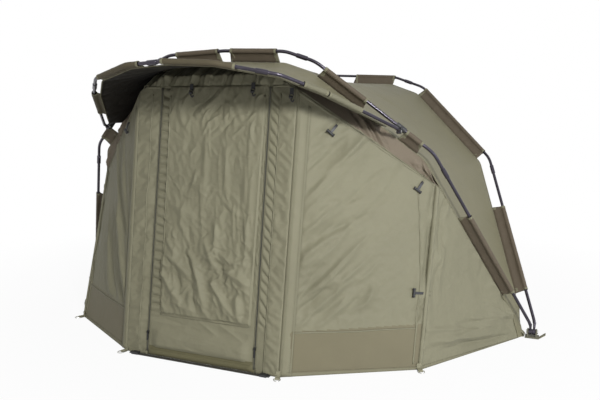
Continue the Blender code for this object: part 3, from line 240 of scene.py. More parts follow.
class Rib:
    """A pole outline standing in a plane through its hinge axis."""

    def __init__(self, shares, half, reach, arm, radius, base, lean):
        side = [np.array((half, 0.0)), np.array((half, arm))]
        side += [np.array((x * half, r * reach)) for x, r in shares]
        corners = [np.array((-p[0], p[1])) for p in side[:-1]] + side[::-1]
        self.path = rounded(corners, radius)
        self.marks = marks_along(self.path)
        self.length = float(self.marks[-1])
        self.half = half
        self.base = base
        self.out = np.array((0.0, -math.sin(lean), math.cos(lean)))
        self.forward = np.array((0.0, -math.cos(lean), -math.sin(lean)))

    def flat(self, d):
        d = np.asarray(d, float)
        return np.stack([np.interp(d, self.marks, self.path[:, k]) for k in (0, 1)], -1)

    def along(self, d, reach=0.012):
        d = np.asarray(d, float)
        return unit(self.flat(d + reach) - self.flat(d - reach))

    def outward(self, d):
        a = self.along(d)
        return -a[..., 1:2] * X + a[..., 0:1] * self.out

    def at(self, d, drop=0.0, ahead=0.0):
        """Points along the rib, dropped towards the tent's inside or moved ahead of the rib's plane."""
        flat = self.flat(d)
        point = self.base + flat[..., 0:1] * X + flat[..., 1:2] * self.out
        drop, ahead = np.asarray(drop)[..., None], np.asarray(ahead)[..., None]
        return point - self.outward(d) * drop + self.forward * ahead

    def where(self, x):
        """The distance along the rib at a place across the tent."""
        return float(np.interp(x, self.path[:, 0], self.marks))


FRONT = Rib(FRONT_SHARES, HALF_SPAN - EYE_PITCH / 2, FRONT_REACH, ARM, 0.160, HUB, math.radians(FRONT_LEAN))
REAR = Rib(REAR_SHARES, HALF_SPAN + EYE_PITCH / 2, REAR_REACH, ARM, 0.160, HUB, math.radians(-REAR_LEAN))
JUNCTION = FRONT.where(-JUNCTION_X)
PIN = FRONT.at(JUNCTION, ahead=PIN_OUT) * (0, 1, 1)
VISOR = Rib(VISOR_SHARES, JUNCTION_X, VISOR_REACH, VISOR_ARM, 0.120, PIN, math.radians(90 - VISOR_RISE))


def spans(rib, shares):
    """Starts and ends along a rib of what lies at shares of the half span, on both sides."""
    made = []
    for low, high in shares:
        made += [(rib.where(-high * HALF_SPAN), rib.where(-low * HALF_SPAN)),
                 (rib.where(low * HALF_SPAN), rib.where(high * HALF_SPAN))]
    return sorted(made)


# Panels

class Panel:
    """Cloth between a low and a high edge, with a bow and creases along its normal; u across, v up."""

    def __init__(self, low, high, width, height, bow=None, relief=None, facing=1, joins=False):
        self.low, self.high, self.bow, self.relief = low, high, bow, relief
        self.width, self.height, self.facing, self.joins = width, height, facing, joins

    def plain(self, u, v):
        p = self.low(u) * (1 - v)[:, None] + self.high(u) * v[:, None]
        if self.bow is not None:
            p = p + self.bow(u) * (4 * v * (1 - v))[:, None]
        return p

    def normal(self, u, v):
        h = 0.004
        a = self.plain(np.minimum(u + h, 1), v) - self.plain(np.maximum(u - h, 0), v)
        b = self.plain(u, np.minimum(v + h, 1)) - self.plain(u, np.maximum(v - h, 0))
        return unit(np.cross(a, b)) * self.facing

    def at(self, u, v, lift=0.0):
        u, v = [np.ascontiguousarray(a)
                for a in np.broadcast_arrays(np.asarray(u, float), np.asarray(v, float))]
        shape = u.shape
        u, v = u.ravel(), v.ravel()
        p = self.plain(u, v)
        push = np.broadcast_to(np.asarray(lift, float), shape).ravel().copy()
        if self.relief is not None:
            push = push + self.relief(u, v, p) * bpy.context.scene.tent_cloth.crease
        out = self.normal(u, v)
        if self.joins:
            share = np.exp(-((p[:, 2] - DOOR_TOP) / 0.05) ** 2)[:, None]
            out = unit(out * (1 - share) + HEADER_OUT * share)
        return (p + out * push[:, None]).reshape(*shape, 3)


def runs(points):
    """A function of u along a chain of points, evenly by length."""
    points = np.array(points, float)
    marks = marks_along(points)
    marks = marks / marks[-1]
    return lambda u: np.stack([np.interp(u, marks, points[:, k]) for k in range(3)], -1)


def seam_edge(rib, start, end, ahead, lift=0.0):
    """The seam under a rib as a function of u, on the rib's front (1) or its back (-1)."""
    return lambda u: rib.at(start + (end - start) * np.asarray(u),
                            drop=np.full(np.shape(u), SLEEVE_DROP - lift),
                            ahead=np.full(np.shape(u), ahead * SEAM_GAP))


def front_plane(x, z):
    """A point on the plane of the door and its borders."""
    return np.array((x, WALL_SLOPE * z - FRONT_DEPTH, z)) + SHIFT


OUTER = np.array((-0.692 * HALF_SPAN, -0.656 * FRONT_DEPTH, 0)) + SHIFT
INNER = np.array((-0.291 * HALF_SPAN, -FRONT_DEPTH, 0)) + SHIFT
START = np.array((-(HALF_SPAN - 0.062), -CORNER_OUT, 0)) + SHIFT
WING_TOP = FRONT.where(-0.735 * HALF_SPAN)
FACET_TOP = FRONT.where(-0.300 * HALF_SPAN)
WING_PEAK = FRONT.at(WING_TOP, drop=SLEEVE_DROP, ahead=SEAM_GAP)
FACET_PEAK = front_plane(-0.300 * HALF_SPAN, 1.255)
ZIP_FOOT, ZIP_PEAK = front_plane(-DOOR_HALF, 0.0), front_plane(-DOOR_HALF, DOOR_TOP)
BACK = np.array((-0.860 * HALF_SPAN, 0.505 * REAR_DEPTH, 0)) + SHIFT
TAIL = np.array((-0.380 * HALF_SPAN, REAR_DEPTH, 0)) + SHIFT


def band_fade(u, v, width, height, reach=0.03):
    """One inside the panel, nothing at its edges."""
    return (ramp(u * width, 0, reach) * ramp((1 - u) * width, 0, reach)
            * ramp(v * height, 0, reach) * ramp((1 - v) * height, 0, reach))


def folds(a, b, strokes):
    """Single creases, each a bent line that fades out at both ends and is steeper on one side."""
    total = np.zeros(np.shape(a))
    for a0, b0, a1, b1, wide, high, bend in strokes:
        da, db = a1 - a0, b1 - b0
        run = math.hypot(da, db)
        t = ((a - a0) * da + (b - b0) * db) / run ** 2
        s = ((b - b0) * da - (a - a0) * db) / run - bend * 4 * t * (1 - t)
        body = np.clip(4 * t * (1 - t), 0, 1) ** 0.7
        w = wide * (0.45 + 0.55 * body) * np.where(s > 0, 1.0, 1.9)
        total += high * body * np.exp(0.13 - np.sqrt((s / w) ** 2 + 0.017))
    return total


def scatter(seed, count, box, angle, turn, run, wide, high, bend=0.12, raised=0.7):
    """Creases strewn over a box, most of them near one direction."""
    rng = np.random.default_rng(seed)
    made = []
    for _ in range(count):
        a, b = rng.uniform(box[0], box[2]), rng.uniform(box[1], box[3])
        way = math.radians(angle + turn * rng.normal())
        half = run * rng.uniform(0.5, 1.3) / 2
        da, db = math.cos(way) * half, math.sin(way) * half
        rise = high * rng.uniform(0.5, 1.3) * (1 if rng.uniform() < raised else -1)
        made.append((a - da, b - db, a + da, b + db,
                     wide * rng.uniform(0.6, 1.4), rise, run * bend * rng.normal()))
    return made


def link_points(shape, cell, bend):
    """Springs of a cloth grid in sets that share no point: (first, second, run along a and b, pull)."""
    made = []
    kinds = ((1, 0, 2, 1.0), (0, 1, 2, 1.0), (1, 1, 2, 0.5), (1, -1, 2, 0.5),
             (2, 0, 4, bend), (0, 2, 4, bend))
    for da, db, step, pull in kinds:
        turn = (step, 1) if da else (1, step)
        for start in range(step):
            i0, j0 = (start, max(0, -db)) if da else (0, start)
            ends = shape[0] - da, shape[1] - max(0, db)
            i1, j1 = [stop - 1 - (stop - 1 - first) % skip for stop, first, skip in zip(ends, (i0, j0), turn)]
            if i1 < i0 or j1 < j0:
                continue
            first = slice(i0, i1 + 1, turn[0]), slice(j0, j1 + 1, turn[1])
            second = slice(i0 + da, i1 + da + 1, turn[0]), slice(j0 + db, j1 + db + 1, turn[1])
            made.append((first, second, da * cell[0], db * cell[1], pull))
    return made


def settled(width, height, excess, begin, seed, cell=0.006, bend=0.6, steps=(200, 120), reach=0.030):
    """Heights of cloth that is cut larger than its held border and settles into folds.

    excess(a, b) gives the spare cloth across, along and slantwise as shares, and begin(a, b) the folds it
    starts from.
    """
    heights = None
    for level, turns in enumerate(steps):
        near = cell * 2 ** (len(steps) - 1 - level)
        columns, rows = [max(5, round(side / near / 2 ** level)) * 2 ** level + 1 for side in (width, height)]
        if heights is not None:
            columns, rows = [2 * n - 1 for n in heights.shape]
        a, b = np.meshgrid(np.linspace(0, width, columns), np.linspace(0, height, rows), indexing="ij")
        step = a[1, 0], b[0, 1]
        if heights is None:
            heights = begin(a, b)
        else:
            finer = np.empty((columns, rows))
            finer[::2, ::2] = heights
            finer[1::2, ::2] = (heights[1:] + heights[:-1]) / 2
            finer[:, 1::2] = (finer[:, 2::2] + finer[:, :-2:2]) / 2
            heights = finer
        heights = heights + 0.0004 * noise(a / (3.1 * step[0]), b / (3.1 * step[1]), seed + level)
        points = np.stack([a, b, heights], -1)
        free = np.zeros(a.shape)
        free[1:-1, 1:-1] = 1
        points[..., 2] *= free
        across, along, slant = excess(a, b)
        springs = []
        for first, second, da, db, pull in link_points(a.shape, step, bend):
            run = math.hypot(da, db)
            spare = across * (da / run) ** 2 + along * (db / run) ** 2 + 2 * slant * da * db / run ** 2
            total = np.maximum(free[first] + free[second], 1e-9)
            springs.append((first, second, run * (1 + (spare[first] + spare[second]) / 2),
                            (free[first] / total * pull)[..., None],
                            (free[second] / total * pull)[..., None]))
        for turn in range(turns):
            for first, second, rest, near_share, far_share in springs:
                gap = points[second] - points[first]
                length = np.sqrt((gap * gap).sum(-1))
                gap *= ((length - rest) / length)[..., None]
                points[first] += gap * near_share
                points[second] -= gap * far_share
            if turn % 8 == 0:
                points[..., 2] = np.clip(points[..., 2], -reach, reach)
        heights = points[..., 2].copy()
    return heights


def sampled(grid, width, height, a, b):
    """Reads a grid of heights at places given in metres."""
    i = np.clip(a / width, 0, 1) * (grid.shape[0] - 1.001)
    j = np.clip(b / height, 0, 1) * (grid.shape[1] - 1.001)
    k, m = i.astype(int), j.astype(int)
    f, g = i - k, j - m
    return ((grid[k, m] * (1 - f) + grid[k + 1, m] * f) * (1 - g)
            + (grid[k, m + 1] * (1 - f) + grid[k + 1, m + 1] * f) * g)


def spare(amount, angle):
    """Spare cloth square to creases that run at an angle."""
    c, s = math.cos(math.radians(angle)), math.sin(math.radians(angle))
    return amount * s * s, amount * c * c, -amount * s * c


def slack(*parts):
    return [sum(p[k] for p in parts) for k in range(3)]


HEAD_SEAM = 1.272
HEADER_FOLDS = [(x - 0.026, HEAD_SEAM - 0.03, x + 0.034, 1.425,
                 0.0110 + 0.003 * math.sin(5 * x), 0.0190, 0.004)
                for x in np.linspace(-0.37, 0.37, 15) + 0.012 * np.sin(np.arange(15) * 2.4)]
HEADER_FOLDS += [(x - 0.024, HEAD_SEAM - 0.02, x + 0.032, 1.42, 0.0046, -0.0210, 0.006)
                 for x in np.linspace(-0.35, 0.36, 15) + 0.014 * np.sin(np.arange(15) * 4.1)]
HEADER_FOLDS += scatter(321, 34, (-0.38, HEAD_SEAM, 0.38, 1.39), 64, 14, 0.060, 0.005, 0.0070)


def wing_relief(seed):
    """Long shallow folds over the hem, a fan from the hub and bunched cloth under the vent."""
    wide, high = 0.72, 1.05
    low = scatter(seed, 12, (0.10, 0.030, 0.66, 0.15), 5, 4, 0.42, 0.008, 0.0120, 0.03)
    low += [(0.06, 0.030, 0.64, 0.062, 0.007, -0.0160, 0.002),
            (0.20, 0.10, 0.62, 0.085, 0.008, 0.0120, 0.004)]
    fan = scatter(seed + 1, 7, (0.15, 0.25, 0.50, 0.60), 62, 12, 0.40, 0.026, 0.0055)
    hub = scatter(seed + 2, 8, (0.02, 0.08, 0.20, 0.30), 38, 9, 0.22, 0.009, 0.0080)
    strip = scatter(seed + 3, 18, (0.635, 0.22, 0.715, 0.85), 88, 8, 0.16, 0.007, 0.0140, 0.06, 0.5)
    bunch = [(0.690, 0.66, 0.640, 1.00, 0.011, -0.026, 0.004),
             (0.668, 0.62, 0.600, 0.97, 0.009, 0.016, 0.006),
             (0.705, 0.60, 0.672, 0.97, 0.006, 0.014, 0.0),
             (0.676, 0.70, 0.628, 0.98, 0.006, -0.014, 0.002)]
    strokes = low + fan + hub + strip + bunch

    def spread_out(a, b):
        foot = np.exp(-(b / 0.12) ** 2)
        return slack(spare(0.012 * foot, 4), spare(0.003 + 0.010 * np.exp(-((wide - a) / 0.07) ** 2), 88))
    grid = settled(wide, high, spread_out, lambda a, b: folds(a, b, strokes), seed, 0.0085)

    def relief(u, v, p):
        s, z = u * wide, p[:, 2]
        made = 0.7 * sampled(grid, wide, high, s, z) + 0.7 * folds(s, z, strokes)
        return made * band_fade(u, v, wide, 0.8, 0.016)
    return relief


def window_relief(side, seed):
    """Slanting creases drawn from the inner border, over a smooth tube beside the corner."""
    wide, high, left, foot = 0.59, 1.04, 0.062, 0.205
    if side > 0:
        strokes = scatter(seed, 12, (0.07, 0.62, 0.32, 1.05), 47, 4, 0.46, 0.010, 0.0105, 0.04)
        strokes += scatter(seed + 1, 22, (0.06, 0.30, 0.26, 0.72), 43, 7, 0.28, 0.0085, 0.0110, 0.06)
        strokes += scatter(seed + 2, 18, (0.07, 0.22, 0.38, 0.50), 40, 14, 0.16, 0.007, 0.0080)
        strokes += scatter(seed + 4, 6, (0.30, 0.75, 0.52, 1.02), 60, 10, 0.30, 0.020, 0.0045)
        lean, near = 44, 0.30
    else:
        strokes = scatter(seed, 16, (0.07, 0.30, 0.36, 0.95), 63, 3, 0.60, 0.0085, 0.0075, 0.03)
        strokes += scatter(seed + 1, 16, (0.05, 0.22, 0.22, 0.62), 60, 5, 0.28, 0.0065, 0.0065, 0.04)
        lean, near = 62, 0.24
    edge = scatter(seed + 7, 16, (0.585, 0.30, 0.650, 0.98), 91, 6, 0.17, 0.0070, 0.0150, 0.05, 0.5)
    edge += scatter(seed + 8, 16, (0.545, 0.45, 0.63, 0.95), 20, 30, 0.07, 0.006, 0.0070)
    edge += [(0.626, 0.50, 0.616, 0.80, 0.012, -0.030, 0.006),
             (0.600, 0.50, 0.606, 0.92, 0.009, 0.012, -0.004),
             (0.560, 1.02, 0.610, 0.72, 0.010, 0.0090, 0.010)]
    slits = [(0.634, 0.66, 0.631, 0.335, 0.008, -0.024, 0.002),
             (0.640, 0.31, 0.612, 0.24, 0.007, -0.015, 0.0),
             (0.637, 0.27, 0.606, 0.19, 0.007, -0.013, 0.0),
             (0.634, 0.86, 0.628, 0.68, 0.007, -0.012, 0.002)]

    def spread_out(a, b):
        z, s = b + foot, a + left
        low = np.exp(-((z - 0.38) / 0.24) ** 2) * np.exp(-((s - 0.12) / near) ** 2)
        inner = np.exp(-((s - 0.05) / near) ** 2)
        outer = np.exp(-((0.62 - s) / 0.06) ** 2)
        loose = 1 if side > 0 else 0.35
        return slack(spare(loose * (0.0015 + 0.012 * inner + 0.020 * low), lean),
                     spare(loose * 0.009 * low, lean - 80), spare(0.030 * outer, 90))
    grid = settled(wide, high, spread_out, lambda a, b: folds(a + left, b + foot, strokes + edge),
                   seed, 0.0065, 0.35)

    def relief(u, v, p):
        z = p[:, 2]
        s = (1 - u) * 0.66
        glass = ramp(s, 0.055, 0.068) * ramp(z, 0.198, 0.214)
        made = sampled(grid, wide, high, s - left, z - foot) + 0.75 * folds(s, z, strokes)
        made = made * glass * (1 if side > 0 else 1 - 0.75 * ramp(s, 0.42, 0.60))
        made = made + folds(s, z, edge) * (1 - glass) * 0.4 * ramp(z, 0.02, 0.1) * ramp(s, 0.4, 0.5)
        made = made + 0.0010 * noise(s / 0.16, z / 0.07, seed) * (1 - glass) + folds(s, z, slits)
        strip = 1 - ramp(s, 0.046, 0.056)
        tube = 0.011 * np.sqrt(np.clip(1 - ((s - 0.025) / 0.027) ** 2, 0, 1))
        made = made * (1 - strip) + tube * strip * ramp(1 - v, 0.02, 0.10)
        return made * band_fade(u, v, 0.66, 1.1, 0.014)
    return relief


def gusset_relief(side, seed):
    """Beside the zip: pleats on one side of the door, and a crumpled flap."""
    wide, high, full = 0.076 if side > 0 else 0.114, 1.25, 0.12
    flap = scatter(seed, 26, (0.005, 0.06, 0.070, 1.20), 58, 36, 0.065, 0.006, 0.0075)
    flap += scatter(seed + 1, 10, (0.02, 0.15, 0.070, 1.10), 92, 6, 0.22, 0.006, 0.0075)
    if side < 0:
        flap += scatter(seed + 2, 30, (0.04, 0.06, 0.112, 1.15), 80, 20, 0.12, 0.006, 0.0100)
        flap += [(0.062, 0.00, 0.100, 0.70, 0.010, 0.015, 0.012),
                 (0.100, 0.10, 0.108, 0.95, 0.007, -0.012, 0.0)]
    amount = 0.016 if side > 0 else 0.022
    grid = settled(wide, high, lambda a, b: slack(spare(amount * 0.6 + 0 * a, 90), spare(amount + 0 * a, 20)),
                   lambda a, b: folds(a, b, flap), seed, 0.0045)

    def relief(u, v, p):
        z = p[:, 2]
        s = u * full
        made = sampled(grid, wide, high, s, z) * ramp(wide - s, 0, 0.004)
        if side > 0:
            covered = 1 - ramp(s, 0.070, 0.076)
            pleat = ramp(s, 0.074, 0.080) * ramp(full - s, 0.0, 0.005) * ramp(z, 0.16, 0.24)
            turn = z / 0.047 - (s - 0.075) * 23 + 0.35 * noise(z * 7, s * 3, seed)
            made = made * covered + 0.0040 * covered
            made = made + pleat * (0.0125 * abs(np.sin(math.pi * turn)) ** 0.6 - 0.0060)
        made = made * (1 - 0.6 * ramp(z, 1.12, HEAD_SEAM))
        made = made * (1 - ramp(z, HEAD_SEAM - 0.004, HEAD_SEAM + 0.004))
        gathers = folds(p[:, 0], z, HEADER_FOLDS) * ramp(z, HEAD_SEAM, HEAD_SEAM + 0.012)
        made = made + gathers * ramp(s, 0, 0.028)
        return made * ramp(s, 0, 0.006) * ramp(v * 1.2, 0, 0.006) * ramp(full - s, 0.006, 0.011)
    return relief


DOOR_FOLDS = [
    (-0.219, 0.49, -0.068, 0.39, 0.015, 0.015, 0.010), (-0.205, 0.38, -0.105, 0.27, 0.013, 0.013, -0.006),
    (-0.060, 0.47, 0.020, 0.24, 0.011, 0.016, 0.010), (-0.010, 0.60, 0.085, 0.43, 0.014, 0.011, -0.010),
    (0.110, 0.43, 0.250, 0.375, 0.013, 0.018, 0.012), (0.040, 0.39, 0.195, 0.225, 0.012, 0.016, -0.008),
    (0.180, 0.33, 0.200, 0.215, 0.011, 0.013, 0.004), (-0.170, 0.27, -0.010, 0.225, 0.011, 0.010, 0.004),
    (-0.215, 0.56, -0.140, 0.48, 0.011, 0.008, 0.0), (0.000, 0.33, 0.120, 0.30, 0.010, -0.008, 0.010),
    (-0.150, 0.44, -0.120, 0.33, 0.009, -0.009, 0.0), (0.060, 0.52, 0.240, 0.47, 0.014, 0.009, -0.012),
    (-0.035, 1.16, -0.020, 0.70, 0.008, 0.0050, 0.006), (0.070, 1.02, 0.105, 0.76, 0.008, 0.0050, 0.004),
    (0.205, 1.12, 0.190, 0.72, 0.012, 0.0070, 0.006), (0.230, 0.95, 0.222, 0.55, 0.008, 0.0060, -0.004),
    (-0.190, 1.28, -0.235, 1.12, 0.009, 0.0110, 0.008), (-0.185, 1.27, -0.150, 1.08, 0.009, 0.0090, -0.006),
    (-0.080, 1.29, -0.175, 1.15, 0.010, 0.0090, -0.010), (0.080, 1.28, -0.060, 1.16, 0.009, 0.0110, 0.012),
    (0.090, 1.27, 0.150, 1.12, 0.009, 0.0080, 0.006), (0.000, 1.20, -0.100, 1.13, 0.006, 0.0100, 0.006),
    (-0.100, 0.82, 0.000, 0.79, 0.012, 0.0090, 0.014), (-0.210, 0.72, -0.060, 0.66, 0.014, 0.0090, 0.010),
    (0.045, 0.66, 0.070, 0.52, 0.008, 0.0100, 0.004), (0.105, 0.60, 0.020, 0.54, 0.008, 0.0090, 0.004),
]
DOOR_FOLDS += scatter(301, 16, (-0.22, 0.22, 0.24, 0.52), -40, 20, 0.11, 0.0075, 0.0070)
DOOR_FOLDS += scatter(303, 14, (-0.22, 0.50, 0.24, 0.95), -50, 38, 0.085, 0.0065, 0.0050)
DOOR_FOLDS += scatter(305, 14, (-0.22, 0.92, 0.24, 1.22), 62, 30, 0.085, 0.0065, 0.0050)
DOOR_CREASES = scatter(307, 34, (-0.22, 0.24, 0.24, 0.60), -46, 24, 0.085, 0.0040, 0.0060, 0.08)
DOOR_CREASES += scatter(308, 20, (-0.22, 0.24, 0.24, 0.58), 48, 24, 0.070, 0.0040, 0.0050, 0.08)
DOOR_CREASES += scatter(309, 44, (-0.22, 0.55, 0.24, 1.15), -65, 40, 0.080, 0.0038, 0.0042, 0.10)
DOOR_CREASES += scatter(310, 14, (-0.10, 0.60, 0.24, 1.15), 92, 4, 0.26, 0.0042, 0.0050, 0.04)
DOOR_CREASES += scatter(313, 26, (-0.22, 1.05, 0.24, 1.26), 60, 20, 0.10, 0.0040, 0.0065, 0.08)
DOOR_GATHERS = scatter(311, 34, (-0.22, 0.205, 0.25, 0.245), 20, 40, 0.050, 0.0060, 0.0080)
DOOR_SKIRT = scatter(312, 7, (-0.20, 0.05, 0.20, 0.18), -5, 3, 0.34, 0.008, 0.0035, 0.02)
DOOR_SKIRT += [(-0.02, 0.195, 0.10, 0.135, 0.007, 0.006, 0.0),
               (0.10, 0.190, 0.24, 0.120, 0.007, 0.006, 0.002)]
DOOR_WIDE, DOOR_HIGH, DOOR_LEFT, DOOR_FOOT = 0.500, 1.075, -0.243, 0.203


@functools.lru_cache(maxsize=None)
def door_grid():
    def spread_out(a, b):
        z = b + DOOR_FOOT
        low = np.exp(-((z - 0.38) / 0.20) ** 2)
        top = ramp(z, 1.05, 1.25)
        return slack(spare(0.007 + 0.030 * low + 0.008 * top, -48),
                     spare(0.004 + 0.020 * low + 0.010 * top, 62),
                     spare(0.004 * (1 - low), 90))
    return settled(DOOR_WIDE, DOOR_HIGH, spread_out,
                   lambda a, b: folds(a + DOOR_LEFT, b + DOOR_FOOT, DOOR_FOLDS + DOOR_GATHERS),
                   41, 0.005, 0.25, (140, 110))


def door_relief(u, v, p):
    """A loose inner panel with crisp creases, pleats beside the left zip and a plain skirt."""
    x, z = p[:, 0], p[:, 2]
    left, right = -0.225 - 0.02 * v, 0.252 + 0.015 * v
    wave = 0.004 * noise(x * 16, z * 3, 88)
    inside = ramp(x, left, left + 0.008) * ramp(-x, -right, -right + 0.008) * ramp(z + wave, DOOR_FOOT, 0.213)
    low = 0.35 + 0.35 * np.exp(-((z - 0.36) / 0.16) ** 2)
    panel = 0.0085 + sampled(door_grid(), DOOR_WIDE, DOOR_HIGH, x - DOOR_LEFT, z - DOOR_FOOT)
    panel = panel + low * folds(x, z, DOOR_FOLDS) + folds(x, z, DOOR_CREASES)
    pleat = ramp(-x, 0.226, 0.233) * ramp(DOOR_HALF + x, 0.0, 0.006) * ramp(z, 0.17, 0.25)
    turn = z / 0.041 + 0.3 * noise(z * 7, x * 5, 83) + (x + DOOR_HALF) * 2.5
    side = pleat * (1 - inside) * (0.0165 * abs(np.sin(math.pi * turn)) ** 0.6 - 0.0080)
    narrow = ramp(x, 0.262, 0.268) * (1 - inside) * 0.0055 * crumple(x / 0.02, z / 0.045, 61)
    narrow = narrow * ramp(z, 0.2, 0.3)
    hem = 0.009 * np.sqrt(np.clip(1 - ((z - 0.018) / 0.018) ** 2, 0, 1))
    skirt = folds(x, z, DOOR_SKIRT) * (1 - inside)
    swell = 0.019 * ramp(z, 0.024, 0.064) * (1 - ramp(z, 0.068, 0.170))
    skirt = skirt + swell * ramp(DOOR_HALF - abs(x), 0.006, 0.070)
    made = inside * panel + side + narrow + skirt + hem
    made = made * (1 - ramp(z, HEAD_SEAM - 0.006, HEAD_SEAM + 0.004))
    made = made + folds(x, z, HEADER_FOLDS) * (0.35 + 0.65 * ramp(z, HEAD_SEAM, HEAD_SEAM + 0.012))
    return made * ramp(v * 1.32, 0, 0.006) * ramp(DOOR_HALF - abs(x), 0.006, 0.011)


def header_relief(u, v, p):
    """Gathers that run on from the top of the door."""
    zips = np.clip(ramp(abs(abs(p[:, 0]) - DOOR_HALF), 0.006, 0.011) + ramp(v, 0, 0.2), 0, 1)
    fade = zips * ramp(1 - v, 0, 0.25) * ramp(u, 0, 0.04) * ramp(1 - u, 0, 0.04)
    return folds(p[:, 0], p[:, 2], HEADER_FOLDS) * fade


def vent_relief(seed):
    """Slack pleats slant down across the vent band."""
    strokes = [(0.47 + k * 0.024, 0.205, 0.315 + k * 0.017, -0.01, 0.0060, high, 0.004)
               for k, high in zip((-2.2, -1.3, -0.4, 0.4, 1.3, 2.1),
                                  (0.020, -0.020, 0.024, -0.022, 0.022, -0.018))]
    strokes += scatter(seed, 10, (0.22, 0.02, 0.50, 0.15), 52, 8, 0.14, 0.0060, 0.0090, 0.04)
    strokes += scatter(seed + 1, 8, (0.06, 0.02, 0.16, 0.16), 62, 12, 0.10, 0.0060, 0.0060)
    strokes += [(0.048, 0.20, 0.012, 0.0, 0.010, -0.026, 0.0), (0.075, 0.20, 0.030, 0.0, 0.007, 0.018, 0.0)]

    def relief(u, v, p):
        fade = np.sin(math.pi * np.clip(v, 0, 1)) ** 0.4 * ramp(u, 0, 0.015) * ramp(1 - u, 0, 0.04)
        return folds(u * 0.70, v * 0.19, strokes) * fade
    return relief


def canopy_relief(seed, depth=1.0, strokes=(), wide=1.0, high=1.0):
    """Slack drawn between the ribs, with any single folds given in metres of a wide by high sheet."""
    def relief(u, v, p):
        x, y = p[:, 0], p[:, 1] + 0.6 * p[:, 2]
        fade = ramp(u, 0, 0.03) * ramp(1 - u, 0, 0.03) * ramp(v, 0, 0.06) * ramp(1 - v, 0, 0.06)
        pull = 0.0040 * drawn(u * 3.2, v * 1.5, 1.35, 0.16, 1.1, seed) * (0.4 + 0.6 * abs(2 * v - 1))
        pull = pull + 0.0016 * crumple(x / 0.22, y / 0.22, seed + 3)
        edge = np.exp(-(v / 0.10) ** 2) + np.exp(-((1 - v) / 0.10) ** 2)
        pull = pull + 0.0026 * edge * drawn(u * 3.2, v * 1.5, 1.5, 0.05, 0.5, seed + 7)
        return pull * fade * depth + folds(u * wide, v * high, strokes) * band_fade(u, v, wide, high, 0.02)
    return relief


def hem_fans(seed, spots, run=0.55, high=0.010):
    """Folds that spread up from the pegged corners of a hem."""
    made = []
    for index, spot in enumerate(spots):
        for angle in (58, 74, 90, 106, 122):
            way = math.radians(angle + 5 * math.sin(seed + index + angle))
            reach = run * (0.8 + 0.3 * math.sin(3 * angle + index))
            made.append((spot + 0.03 * math.cos(way), 0.02,
                         spot + reach * math.cos(way), reach * math.sin(way),
                         0.013, high * (1 if angle % 4 else -0.8), 0.012))
    return made


def sided(edge, side):
    """An edge drawn on the left, as it is (-1) or mirrored to the right (1)."""
    return edge if side < 0 else lambda u: flip(edge(u))


@functools.lru_cache(maxsize=None)
def wall_panels():
    """The panels of the front wall by name."""
    made = {}
    wing_in = unit(np.cross(OUTER - START, Z))

    def drawn_in(u):
        return wing_in * (-0.016 * np.sin(math.pi * np.asarray(u)))[:, None]

    for side, name in ((-1, "left"), (1, "right")):
        turn = functools.partial(sided, side=side)
        border, head = turn(runs([OUTER, INNER])), turn(runs([WING_PEAK, FACET_PEAK]))
        made[f"wing_{name}"] = Panel(
            turn(runs([START, OUTER])), turn(seam_edge(FRONT, CANOPY_START, WING_TOP, 1)),
            0.72, 0.8, turn(drawn_in), wing_relief(11 + side), -side)
        made[f"window_{name}"] = Panel(
            border, head, 0.66, 1.1, None, window_relief(side, 23 + 5 * side), -side)
        made[f"gusset_{name}"] = Panel(
            turn(runs([INNER, ZIP_FOOT])), turn(runs([FACET_PEAK, ZIP_PEAK])),
            0.127, 1.3, None, gusset_relief(side, 31 + 3 * side), -side, joins=True)
        made[f"vent_{name}"] = Panel(
            head, turn(seam_edge(FRONT, WING_TOP + 0.02, FACET_TOP, 1)),
            0.7, 0.2, None, vent_relief(47 + 9 * side), -side)
    made["door"] = Panel(lambda u: front_plane(0, 0) + (2 * u - 1)[:, None] * X * DOOR_HALF,
                         lambda u: front_plane(0, DOOR_TOP) + (2 * u - 1)[:, None] * X * DOOR_HALF,
                         2 * DOOR_HALF, 1.34, None, door_relief, joins=True)
    made["header"] = Panel(
        runs([FACET_PEAK, ZIP_PEAK, flip(ZIP_PEAK), flip(FACET_PEAK)]),
        seam_edge(FRONT, FACET_TOP, FRONT.length - FACET_TOP, 1),
        0.85, 0.15, None, header_relief, joins=True)
    return made


def bowed(rib_a, span_a, rib_b, span_b, sag):
    """The sag of cloth between two ribs, as a function of u."""
    def bow(u):
        u = np.asarray(u)
        a = rib_a.outward(span_a[0] + (span_a[1] - span_a[0]) * u)
        b = rib_b.outward(span_b[0] + (span_b[1] - span_b[0]) * u)
        return -unit(a + b) * (sag * np.sin(math.pi * u))[:, None]
    return bow


def roof_panel():
    """The canopy between the front and the rear rib."""
    a, b = (CANOPY_START, FRONT.length - CANOPY_START), (CANOPY_START, REAR.length - CANOPY_START)
    low, high = seam_edge(FRONT, *a, -1), seam_edge(REAR, *b, 1)
    strokes = scatter(103, 16, (0.2, 0.3, 2.9, 1.2), 88, 14, 0.50, 0.024, 0.0050)
    return Panel(low, high, 3.1, 1.5, bowed(FRONT, a, REAR, b, 0.034),
                 canopy_relief(101, 1.0, strokes, 3.1, 1.5))


